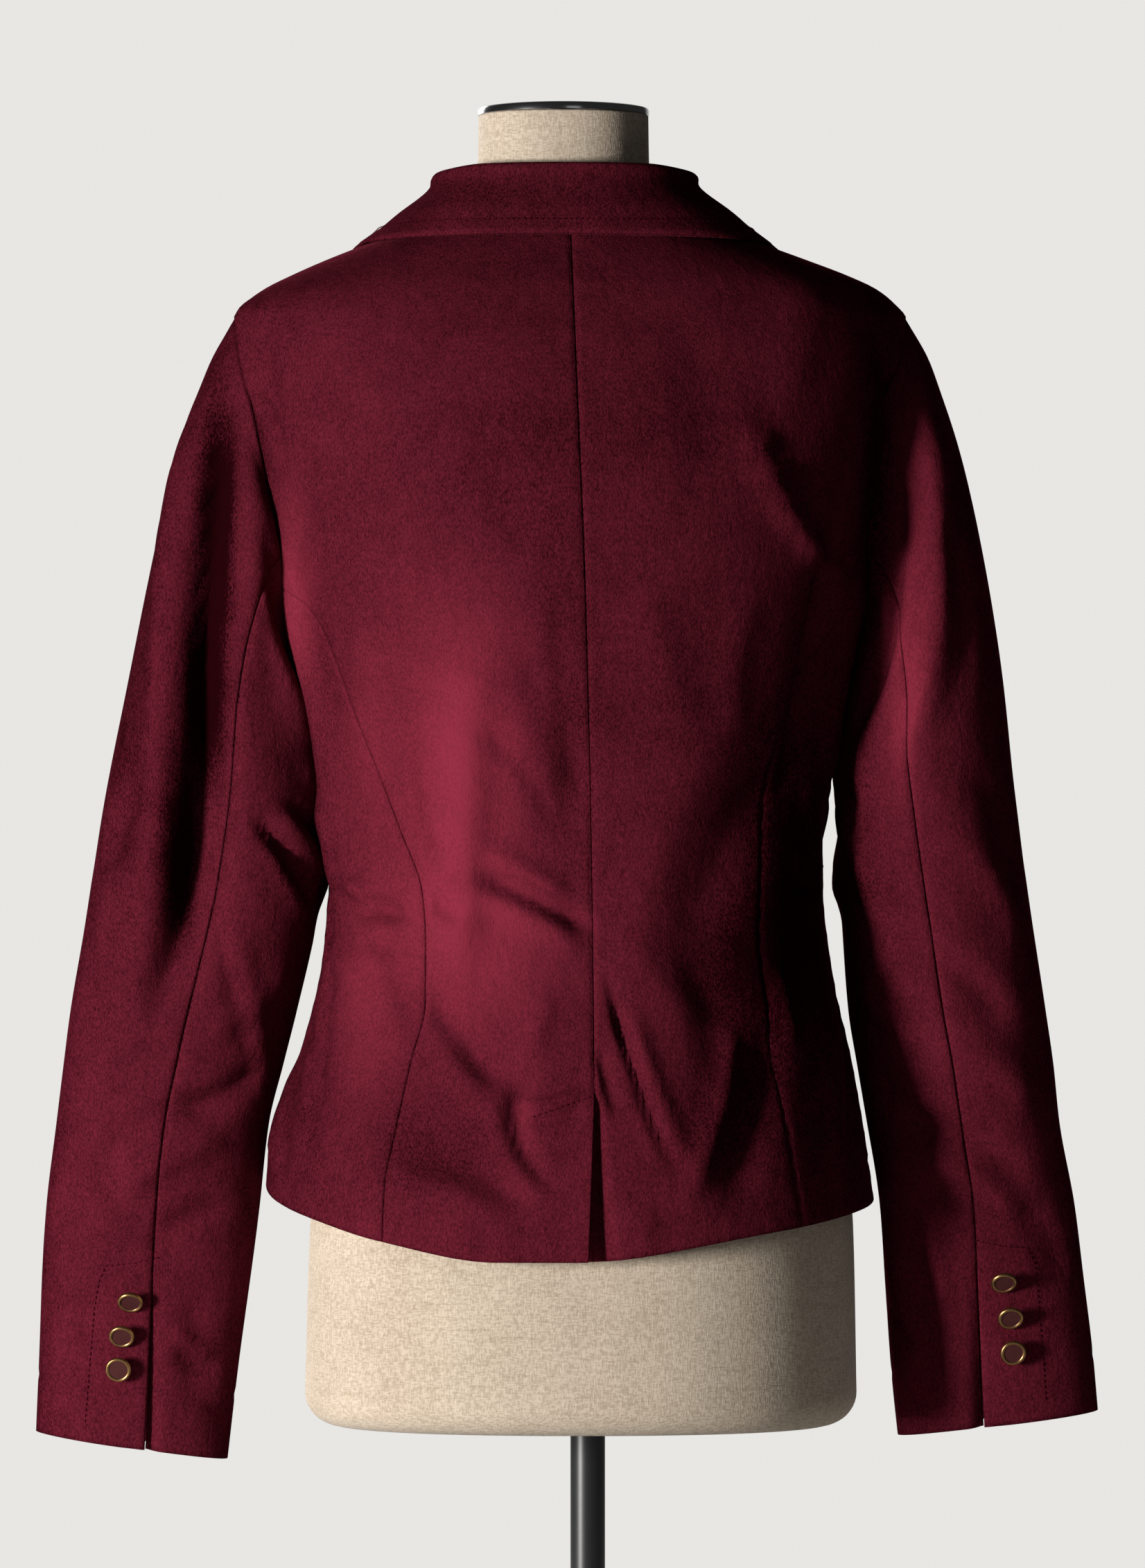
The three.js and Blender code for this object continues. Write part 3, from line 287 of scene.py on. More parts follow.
# Backs of the sleeves: ends as side distance and height
SLEEVE_BACK_CREASES = {
    "left": (
        # one black trough from the shoulder to below the elbow, and the lit wedge beside it
        (205, 824, 247, 456, 9.5, -10, -19), (226, 806, 262, 476, 10, 3.4, -17),
        (194, 776, 155, 592, 10, 4.4, 2), (184, 764, 170, 664, 9, 3.0, 0),
        (188, 712, 176, 640, 8, -1.6, 0),
        # elbow
        (163, 604, 148, 560, 4.5, 2.2, 0), (174, 580, 154, 556, 3, -2.2, 1),
        (177, 574, 150, 536, 5.5, 2.8, 1), (190, 570, 160, 520, 3.6, -4.0, 1),
        (185, 556, 162, 510, 2.6, 2.2, 1), (206, 514, 186, 404, 5, 1.8, 2),
        (214, 520, 194, 430, 5, -1.8, 2), (262, 580, 274, 540, 8, -1.6, 2),
        # cuff
        (284, 354, 262, 330, 7, 1.6, 2), (306, 331, 272, 339, 6, 1.4, 2),
        (268, 321, 246, 323, 3, -1.4, 1), (238, 275, 217, 257, 3.4, 2.4, 1),
        (240, 263, 214, 248, 4, -2.0, 1), (222, 230, 206, 219, 4, -1.6, 0),
    ),
    "right": (
        # black trough down the armhole and the lit ridge beside it
        (-170, 800, -150, 612, 10, -5.6, 3), (-192, 812, -181, 596, 9, 3.8, -3),
        (-176, 814, -184, 829, 3.2, -2.4, 0), (-203, 800, -214, 690, 7, -1.8, 2),
        (-213, 740, -222, 640, 6, 1.4, 2), (-174, 288, -188, 260, 4.5, -2.6, 0),
        (-197, 334, -206, 286, 5, 1.8, 0),
    ),
}
# Sleeves: ends as degrees round the sleeve (0 outside, 90 back, 180 body side) and height
BOTH_SLEEVES_CREASES = (
    (216, 600, 176, 556, 9, -2.8, 5), (300, 600, 340, 530, 14, -2.2, 6), (280, 540, 330, 480, 13, 2.2, 6),
    (270, 480, 320, 430, 12, -2.2, 6), (290, 400, 336, 350, 12, 2.0, 6),
)
SLEEVE_CREASES = {
    "left": (
        (40, 846, 34, 760, 12, 1.6, -5), (60, 596, 24, 540, 13, -1.6, 8), (74, 560, 34, 500, 13, 1.4, 8),
        (150, 486, 102, 448, 9, 1.6, -5), (98, 452, 44, 418, 11, 2.2, 7),
        (142, 432, 96, 398, 8, -2.6, -5), (120, 412, 60, 372, 10, -2.0, 6),
        (126, 384, 74, 352, 9, 2.2, 6), (70, 372, 34, 330, 12, -1.8, 5), (130, 350, 92, 322, 8, -1.8, 4),
        (60, 318, 44, 240, 13, 1.6, 4), (120, 300, 128, 226, 10, -1.4, 3),
        (222, 566, 180, 520, 9, 2.6, 5), (226, 530, 186, 500, 9, -2.6, 5),
        *BOTH_SLEEVES_CREASES,
    ),
    "right": (
        (46, 790, 40, 690, 14, 1.2, -5), (158, 604, 118, 548, 7, -2.0, -6),
        (168, 578, 110, 520, 8, 1.8, -6), (168, 540, 108, 494, 7, -1.8, -5),
        (64, 600, 26, 530, 13, -1.6, 8), (80, 560, 38, 494, 12, 2.2, 8), (112, 500, 58, 452, 10, -2.4, 6),
        (150, 480, 104, 440, 9, 2.2, -5), (104, 446, 48, 404, 11, 2.2, 7),
        (146, 424, 98, 386, 8, -2.4, -5), (124, 400, 62, 360, 10, -2.0, 6),
        (118, 372, 70, 340, 9, 2.0, 6), (66, 350, 40, 300, 12, -1.7, 5),
        (130, 320, 124, 240, 10, -1.5, 3), (224, 560, 180, 516, 9, 2.6, 5),
        *BOTH_SLEEVES_CREASES,
    ),
}


def creases(rows, radius_at):
    """Heights of a set of creases, as a function of an angle and a height on a surface.

    Each row has its ends as angle and height, half width, height of the ridge (negative for a
    trough) and the bow of its middle. One flank of each is steeper than the other.
    """
    lines = []
    for start, low, end, high, width, height, bow in rows:
        radius = radius_at((start + end) / 2, (low + high) / 2)
        run, rise = turn(start, end) * radius, high - low
        lines.append((start, low, run, rise, radius, width, height, bow))

    def total(angle, z):
        result = np.zeros(np.shape(angle))
        for start, low, run, rise, radius, width, height, bow in lines:
            length = math.hypot(run, rise)
            across, up = turn(start, angle) * radius, z - low
            share = (across * run + up * rise) / length ** 2
            beside = (across * rise - up * run) / length
            middle = np.clip(share, 0, 1)
            beside = beside - bow * 4 * middle * (1 - middle)
            ends = smooth_step((share + CREASE["end"]) / CREASE["fade"])
            ends = ends * smooth_step((1 + CREASE["end"] - share) / CREASE["fade"])
            flank = np.where(beside * height > 0, 1 + CREASE["skew"], 1 - CREASE["skew"])
            result += CREASE["gain"] * height * ends * np.exp(-(beside / (width * flank)) ** 2)
        return result

    return total


def in_angles(rows):
    """The back's creases with their ends as angles instead of side distances."""
    for x1, z1, x2, z2, *shape in rows:
        yield float(body.angle_at_x(x1, z1)), z1, float(body.angle_at_x(x2, z2)), z2, *shape


def in_radians(rows):
    for a1, z1, a2, z2, *shape in rows:
        yield math.radians(a1), z1, math.radians(a2), z2, *shape


def body_radius(angle, z):
    step = BODY_STEP[0]
    return float(np.linalg.norm(body.at(angle + step, z) - body.at(angle - step, z)) / (2 * step))


CREASE = {"end": 0.1, "fade": 0.34, "skew": 0.22, "gain": 1.7}
BODY_STEP = (0.01, 1.0)
body_creases = creases([*in_angles(BACK_CREASES), *in_radians(SIDE_CREASES)], body_radius)


def ripple(across, up, seed, length=34.0):
    """Slow uneven waves of cloth that isn't pressed flat, between about -1 and 1."""
    shift = seed * 1.7
    a = np.sin(across / length + 1.3 * np.sin(up / (1.9 * length) + shift) + shift)
    b = np.sin(up / (1.35 * length) + 1.1 * np.sin(across / (1.6 * length) - shift) - 2.1 * shift)
    c = np.sin((across + 0.8 * up) / (0.72 * length) + 2.6 * shift)
    return (a * b + 0.5 * c) / 1.5


def body_normal(angle, z):
    return normal_of(body.at, angle, z, *BODY_STEP)


def skin(angle, z, lift=0.0, seed=0.0):
    """A point on the jacket's torso, moved out by a lift, folds included."""
    folds = body_creases(angle, z) + WAVE * ripple(turn(math.pi / 2, angle) * GIRTH, z, seed)
    return body.at(angle, z) + body_normal(angle, z) * np.expand_dims(lift + folds, -1)


WAVE = 0.8
GIRTH = 120.0


def gap_angle(angle, z, gap):
    """Angle that makes a gap of a given length on the torso."""
    step = BODY_STEP[0]
    reach = np.linalg.norm(body.at(angle + step, z) - body.at(angle - step, z), axis=-1)
    return gap * 2 * step / reach


# Heights of the torso's panels, and the oval of the armhole seen from the side
YOKE_Z = 705
NECKLINE_Z = 915
SHOULDER_Z = 854
ARMHOLE = {"z": 770, "half_height": 88, "back": 49, "front": 46}
UPPER = {"share": (1.0, 1.62, 2.0), "z": (YOKE_Z, SHOULDER_Z, NECKLINE_Z)}
VENT = {"z": 412, "underlay": 30, "open": 4, "sink": 10, "reach": 13}
SEAM_DIP = {"depth": 0.8, "width": 1.7, "pucker": 0.4, "wave": 13.0}
HEM_LINE = {"up": 22, "depth": 0.45, "width": 2.0}


def span_at(z, half):
    up = (z - ARMHOLE["z"]) / ARMHOLE["half_height"]
    return half * np.sqrt(np.maximum(0, 1 - up ** 2))


def armhole_angle(z, is_left, on_front):
    """Angle where a panel ends beside the armhole, or at the shoulder seam above it."""
    z = np.asarray(z, float)
    inside = z < ARMHOLE["z"] + ARMHOLE["half_height"]
    half = -ARMHOLE["front"] if on_front else ARMHOLE["back"]
    angle = body.angle_at_y(np.where(inside, span_at(z, half), 0), z, not is_left)
    return angle + FULL if on_front and is_left else angle


def lower_top(angle):
    """Top of the lower panels: the yoke's level, dipping along the bottom of the armhole."""
    y = body.at(angle, YOKE_Z)[..., 1]
    half = np.where(y >= 0, ARMHOLE["back"], ARMHOLE["front"])
    dip = ARMHOLE["half_height"] * np.sqrt(np.maximum(0, 1 - (y / half) ** 2))
    return np.where(np.abs(y) >= span_at(YOKE_Z, half), YOKE_Z, ARMHOLE["z"] - dip)


def place(share, angle_at):
    """Angle and height of grid points: a share of 0 is the hem, 1 the yoke, 2 the neckline."""
    z = mix(hem_height(0), YOKE_Z, np.minimum(share, 1))
    upper = np.interp(share, UPPER["share"], UPPER["z"])
    for _ in range(6):
        angle = angle_at(z)
        lower = mix(hem_height(angle % FULL), lower_top(angle), np.minimum(share, 1))
        z = np.where(share <= 1, lower, upper)
    return angle_at(z), z


def clustered(count, pull=0.75):
    """Shares from 0 to 1 that lie closer together at both ends."""
    s = np.linspace(0, 1, count + 1)
    return s - pull * np.sin(FULL * s) / FULL


def wall(name, outer, inner, present=None):
    """A closed wall from grids of outer and inner points in millimetres.

    present marks the cells that are there. The rim has a row halfway through it.
    """
    columns, rows = outer.shape[0] - 1, outer.shape[1] - 1
    cells = np.ones((columns, rows), bool) if present is None else present
    count = outer.shape[0] * outer.shape[1]
    number = np.arange(count).reshape(outer.shape[:2])
    c, r = np.nonzero(cells)
    corners = np.stack([number[c, r], number[c + 1, r], number[c + 1, r + 1], number[c, r + 1]], 1)
    padded = np.pad(cells, 1)
    faces = [corners, corners[:, ::-1] + count]
    middle = (outer + inner) / 2
    border = []
    for side, (dc, dr) in enumerate(((0, -1), (1, 0), (0, 1), (-1, 0))):
        bare = ~padded[c + 1 + dc, r + 1 + dr]
        a, b = corners[bare, side], corners[bare, (side + 1) % 4]
        border.append(np.stack([b, a], 1))
    edges = np.concatenate(border)
    faces.append(np.stack([edges[:, 0], edges[:, 1], edges[:, 1] + 2 * count,
                           edges[:, 0] + 2 * count], 1))
    faces.append(np.stack([edges[:, 0] + 2 * count, edges[:, 1] + 2 * count,
                           edges[:, 1] + count, edges[:, 0] + count], 1))
    all_points = np.concatenate([outer.reshape(-1, 3), inner.reshape(-1, 3),
                                 middle.reshape(-1, 3)])
    return mesh_object(name, all_points * MM, np.concatenate(faces))


def mesh_object(name, vertices, faces):
    """A smooth closed object from points in metres and four-sided faces, facing out."""
    used, faces = np.unique(faces, return_inverse=True)
    faces = faces.reshape(-1, 4)
    vertices = vertices[used]
    a, b, c, d = (vertices[faces[:, i]] for i in range(4))
    volume = np.einsum("ij,ij->", a, np.cross(b, c)) + np.einsum("ij,ij->", a, np.cross(c, d))
    if volume < 0:
        faces = faces[:, ::-1]
    mesh = bpy.data.meshes.new(name)
    mesh.vertices.add(len(vertices))
    mesh.vertices.foreach_set("co", vertices.ravel())
    mesh.loops.add(faces.size)
    mesh.loops.foreach_set("vertex_index", faces.ravel().astype(np.int32))
    mesh.polygons.add(len(faces))
    mesh.polygons.foreach_set("loop_start", np.arange(0, faces.size, 4, dtype=np.int32))
    mesh.update(calc_edges=True)
    mesh.validate()
    mesh.polygons.foreach_set("use_smooth", np.ones(len(mesh.polygons), bool))
    piece = bpy.data.objects.new(name, mesh)
    bpy.context.scene.collection.objects.link(piece)
    return piece


def seam_dip(distance, along, seed):
    """Sunk line of a seam, and the small puckers beside it."""
    near = np.exp(-(distance / SEAM_DIP["width"]) ** 2)
    beside = np.exp(-(distance / (3 * SEAM_DIP["width"])) ** 2)
    wave = np.sin(along / SEAM_DIP["wave"] * FULL + 2.2 * np.sin(along / 41 + seed) + seed)
    return -SEAM_DIP["depth"] * near + SEAM_DIP["pucker"] * wave * (beside - near)


def hem_dip(height_over_hem):
    return -HEM_LINE["depth"] * np.exp(-((height_over_hem - HEM_LINE["up"]) / HEM_LINE["width"]) ** 2)


centre_back = curve(CENTRE_BACK, "z", "x")
princess = {side: curve(PRINCESS[side], "z", "x") for side in ("left", "right")}


def side_name(is_left):
    return "left" if is_left else "right"


def princess_angle(z, is_left):
    return body.angle_at_x(princess[side_name(is_left)](z), z)


def edge_distance(point_grid):
    """Distance along each row of a grid to its first and its last column."""
    steps = np.linalg.norm(np.diff(point_grid, axis=0), axis=-1)
    run = np.concatenate([np.zeros((1, steps.shape[1])), np.cumsum(steps, axis=0)])
    return run, run[-1] - run


def back_panel(is_left):
    """Centre back panel, from the centre seam to the princess seam and the armhole."""
    away = -1 if is_left else 1
    extra = 0 if is_left else 8
    columns = np.concatenate([np.linspace(-1, 0, extra + 1)[:-1], clustered(44)])
    rows = np.concatenate([np.linspace(0, 1, 106)[:-1], np.linspace(1, 2, 72)])
    u, v = np.meshgrid(columns, rows, indexing="ij")
    bottom = hem_height(math.pi / 2)

    def seam_angle(z):
        parted = VENT["open"] * np.clip((VENT["z"] - z) / (VENT["z"] - bottom), 0, 1)
        angle = body.angle_at_x(centre_back(z), z)
        return angle + away * gap_angle(angle, z, SEAM / 2 + (parted if is_left else 0))

    def side_angle(z):
        angle = np.where(z <= YOKE_Z, princess_angle(z, is_left), armhole_angle(z, is_left, False))
        return angle - away * gap_angle(angle, z, SEAM / 2)

    angle, z = place(v, lambda h: mix(seam_angle(h), side_angle(h), np.maximum(0, u)))
    angle = angle - np.where(u < 0, gap_angle(angle, z, VENT["underlay"] * -np.minimum(u, 0)), 0)
    base = body.at(angle, z)
    from_seam, from_side = edge_distance(base)
    if not is_left:
        from_seam = np.maximum(0, from_seam - from_seam[extra])
    in_vent = 1 - smooth_step((z - VENT["z"] + 6) / 12)
    lift = seam_dip(from_seam, z, 1.0) * (1 - in_vent) + seam_dip(from_side, z, 2.0)
    lift += hem_dip(z - hem_height(angle % FULL))
    if not is_left:
        down = np.clip((VENT["z"] - z) / (VENT["z"] - bottom), 0, 1)
        lift -= (CLOTH + LAYER) * in_vent * (1 - smooth_step(from_seam / 7))
        lift -= VENT["sink"] * down * (1 - smooth_step(from_seam / (3 + VENT["reach"] * down)))
    else:
        lift += 0.9 * in_vent * np.exp(-(from_seam / 9) ** 2)
    lift -= 0.5 * np.exp(-((z - NECKLINE_Z) / 3) ** 2)
    present = (columns[:-1, None] + columns[1:, None] > 0) | (z[:-1, :-1] < VENT["z"] + 8)
    outer = skin(angle, z, lift)
    return wall(f"velvet_back_{side_name(is_left)}", outer, skin(angle, z, lift - CLOTH), present)


def side_panel(is_left):
    """Side back panel, from the princess seam to the side seam, below the armhole."""
    away = -1 if is_left else 1
    side_seam = 0 if is_left else math.pi
    u, v = np.meshgrid(clustered(26), np.linspace(0, 1, 106), indexing="ij")

    def angle_at(z):
        inner = princess_angle(z, is_left)
        start = inner + away * gap_angle(inner, z, SEAM / 2)
        end = side_seam - away * gap_angle(np.full_like(z, side_seam), z, SEAM / 2)
        return mix(start, end, u)

    angle, z = place(v, angle_at)
    from_seam, from_side = edge_distance(body.at(angle, z))
    lift = seam_dip(from_seam, z, 2.0) + seam_dip(from_side, z, 3.0)
    lift += hem_dip(z - hem_height(angle % FULL))
    outer = skin(angle, z, lift)
    return wall(f"velvet_side_back_{side_name(is_left)}", outer, skin(angle, z, lift - CLOTH))


front_reach = curve(FRONT_EDGE, "z", "reach")
LAP = {"full": 52, "ramp": 45, "fade_from": 645, "fade": 60}


def front_x(is_left, z, reach):
    """Side distance on the front at a reach past the middle towards the other front."""
    return body.middle(z) + (-reach if is_left else reach)


def front_angle(is_left, z, reach):
    return body.angle_at_x(front_x(is_left, z, reach), z, True)


def front_skin(is_left, angle, z, lift):
    """A point on a front, where the right one lies over the left one down the middle."""
    if not is_left:
        from_edge = front_x(False, z, front_reach(z)) - body.at(angle, z)[..., 0]
        beside = 1 - smooth_step((from_edge - LAP["full"]) / LAP["ramp"])
        below = 1 - smooth_step((z - LAP["fade_from"]) / LAP["fade"])
        lift = lift + (CLOTH + LAYER) * beside * below
    return skin(angle, z, lift)


def front_panel(is_left):
    """Front, from the side seam and armhole to the front edge and the roll of the lapel."""
    away = -1 if is_left else 1
    side_seam = FULL if is_left else math.pi
    chest = armhole_angle(YOKE_Z, is_left, True)
    columns = np.concatenate([np.linspace(0, 1, 15)[:-1], 1 + clustered(40)])
    rows = np.concatenate([np.linspace(0, 1, 106)[:-1], np.linspace(1, 2, 72)])
    u, v = np.meshgrid(columns, rows, indexing="ij")

    def angle_at(z):
        seam = side_seam + away * gap_angle(np.full_like(z, side_seam), z, SEAM / 2)
        armhole = armhole_angle(z, is_left, True) + away * gap_angle(np.zeros_like(z), z, SEAM / 2)
        start = np.where(v <= 1, chest, armhole)
        across = mix(start, front_angle(is_left, z, front_reach(z)), np.maximum(0, u - 1))
        return np.where((u < 1) & (v <= 1), mix(seam, chest, np.minimum(u, 1)), across)

    angle, z = place(v, angle_at)
    from_seam, from_edge = edge_distance(body.at(angle, z))
    from_seam = np.where(v <= 1, from_seam, np.maximum(0, from_seam - from_seam[14]))
    lift = seam_dip(from_seam, z, 3.0) + hem_dip(z - hem_height(angle % FULL))
    lift -= 0.5 * np.exp(-(from_edge / 1.6) ** 2)
    under_arm = np.arange(len(columns) - 1)[:, None] < 14
    present = ~(under_arm & (np.arange(len(rows) - 1)[None, :] >= 105))
    outer = front_skin(is_left, angle, z, lift)
    inner = front_skin(is_left, angle, z, lift - CLOTH)
    return wall(f"velvet_front_{side_name(is_left)}", outer, inner, present)


LAPEL = {"start": {"left": 646, "right": 607}, "columns": 30, "rows": 60, "roll": 7.0}
GORGE = {"z": 858, "drop": 17, "run": 55, "seam_share": 0.62, "notch": 15, "gap": 1.5}
lapel_width = curve(LAPEL_EDGE, "z", "width")


def gorge_z(out):
    along = out / GORGE["run"]
    notch = smooth_step((along - GORGE["seam_share"]) / (1 - GORGE["seam_share"]))
    return GORGE["z"] - GORGE["gap"] - GORGE["drop"] * along - GORGE["notch"] * notch


def lapel(is_left):
    """The turned part of a front, lying on it from the roll line to its outer edge."""
    share, up = np.meshgrid(clustered(LAPEL["columns"], 0.5), np.linspace(0, 1, LAPEL["rows"] + 1),
                            indexing="ij")
    z = mix(LAPEL["start"][side_name(is_left)], gorge_z(share * LAPEL_EDGE["width"][-1]), up)
    reach = front_reach(z) - SEAM - share * lapel_width(z)
    angle = front_angle(is_left, z, reach)
    from_roll, from_edge = edge_distance(body.at(angle, z))
    rise = LAYER + 0.7 * np.exp(-((from_roll - 9) / LAPEL["roll"]) ** 2)
    rise -= 0.4 * np.exp(-((from_edge - 6) / 2.0) ** 2)
    outer = front_skin(is_left, angle, z, rise + CLOTH)
    inner = front_skin(is_left, angle, z, np.full_like(rise, LAYER))
    return wall(f"velvet_lapel_{side_name(is_left)}", outer, inner)


# Collar from the back to its front ends: angle at the neck, leaf edge, stand height, lean
COLLAR = table(
    "angle neck_z leaf_angle leaf_z stand lean",
    (90, 915, 90, 901, 26, -0.12), (68, 915, 68, 900.5, 26, -0.12),
    (46, 915, 46, 900, 26, -0.12), (23, 915, 23, 899.5, 24, -0.1),
    (0, 915, 0, 898.5, 22, -0.05), (-18, 915, -14, 892, 19, 0.1),
)
COLLAR_FRONT = table(
    "neck_z leaf_width leaf_z stand lean",
    (915, 55, 887, 17, 0.25), (905, 59, 880, 15, 0.4), (892, 60, 866, 10, 0.7),
    (876, 57, 853, 6, 1.0), (858, 53, 841, 3, 1.4),
)
COLLAR_SHAPE = {"gap": 1.1, "columns": 150, "leaf_rows": 16, "bend_rows": 6, "stand_rows": 7}


def unroll(is_left, angle):
    return angle - FULL if is_left else angle


def collar_side(is_left):
    """Functions of s, from 0 at the back to the collar's front end, for one side."""
    around = {name: column.copy() for name, column in COLLAR.items()}
    for name in ("angle", "leaf_angle"):
        radians = np.radians(around[name])
        around[name] = radians if is_left else math.pi - radians
    neck_z = COLLAR_FRONT["neck_z"]
    leaf_reach = front_reach(neck_z) - COLLAR_FRONT["leaf_width"]
    front = {
        "angle": unroll(is_left, front_angle(is_left, neck_z, front_reach(neck_z))),
        "leaf_angle": unroll(is_left, front_angle(is_left, COLLAR_FRONT["leaf_z"], leaf_reach)),
    }
    rows = {name: np.concatenate([around[name], front.get(name, COLLAR_FRONT.get(name))])
            for name in around}
    rows["s"] = np.arange(len(rows["angle"]), dtype=float)
    corner = len(COLLAR["angle"])
    at = {name: curve(rows, "s", name) for name in around}

    def station(s):
        neck = at["neck_z"](s)
        rolled = unroll(is_left, front_angle(is_left, neck, front_reach(neck) + COLLAR_SHAPE["gap"]))
        result = {name: function(s) for name, function in at.items()}
        result["angle"] = np.where(s >= corner, rolled, result["angle"])
        result["neck_z"] = np.where(s <= corner, neck + COLLAR_SHAPE["gap"], neck)
        return result

    return station, len(rows["s"]) - 1


def collar_stations():
    """Every station round the collar, from its left front end to its right one."""
    half = COLLAR_SHAPE["columns"] // 2
    left, last = collar_side(True)
    right, _ = collar_side(False)
    s = np.linspace(0, last, half + 1)
    left_rows, right_rows = left(s), right(s)
    joined = {name: np.concatenate([left_rows[name][::-1], right_rows[name][1:]])
              for name in left_rows}
    joined["s"] = np.concatenate([-s[::-1], s[1:]])
    return joined


def collar_points(at, share, lift):
    """Points of the leaf from its edge (share 0) to the bend (share 1), at a lift."""
    angle = mix(at["leaf_angle"][:, None], at["angle"][:, None], share)
    z = mix(at["leaf_z"][:, None], at["neck_z"][:, None], share)
    out = body_normal(at["angle"], at["neck_z"])
    rise = np.array([0, 0, 1.0]) + out * at["lean"][:, None]
    rise = rise / np.linalg.norm(rise, axis=-1, keepdims=True)
    height = (at["stand"] - 1)[:, None] * share
    return skin(angle, z, lift, 4.0) + rise[:, None, :] * height[..., None], out, rise


def collar():
    """One turned piece: a leaf on the shoulders, a bend, and a stand down to the neckline."""
    at = collar_stations()
    leaf_rows = COLLAR_SHAPE["leaf_rows"]
    share = np.linspace(0, 1, leaf_rows + 1)[None, :] ** 0.9
    lift = LAYER + 0.35 * np.exp(-(share / 0.08) ** 2) - 0.35 * np.exp(-((share - 0.24) / 0.07) ** 2)
    lift = lift + 0.5 * np.sin(at["s"][:, None] * 2.3) * np.sin(math.pi * share)
    outer_leaf, out, rise = collar_points(at, share, lift + CLOTH)
    inner_leaf, _, _ = collar_points(at, share, np.full_like(lift, LAYER))
    neck = body.at(at["angle"], at["neck_z"])
    stand = at["stand"]

    def stand_row(lift, height):
        return neck + out * lift + rise * np.reshape(height, (-1, 1))

    outer, inner = [*np.moveaxis(outer_leaf, 1, 0)], [*np.moveaxis(inner_leaf, 1, 0)]
    for tilt in np.linspace(0, math.pi, COLLAR_SHAPE["bend_rows"] + 1)[1:-1]:
        across, up = math.cos(tilt), math.sin(tilt)
        half = CLOTH + LAYER / 2
        outer.append(stand_row(LAYER / 2 + half * across, stand - 1 + (half + 0.4) * up))
        inner.append(stand_row(LAYER / 2 + LAYER / 2 * across, stand - 1 + 0.3 * up))
    for fall in np.linspace(0, 1, COLLAR_SHAPE["stand_rows"] + 1):
        outer.append(stand_row(-CLOTH, (stand - 1) * (1 - fall)))
        inner.append(stand_row(0, (stand - 1) * (1 - fall)))
    return wall("velvet_collar", np.stack(outer, 1), np.stack(inner, 1))


HEAD = {"share": 0.3, "z": 634, "square": 2.2, "radius": 52, "side": 24, "settle": 5, "gap": 0.25,
        "calm": 0.022}
HEAD_PULL = {"top": (108, 188), "bottom": (12, 30)}
SLEEVE_STEP = (0.02, 0.005)


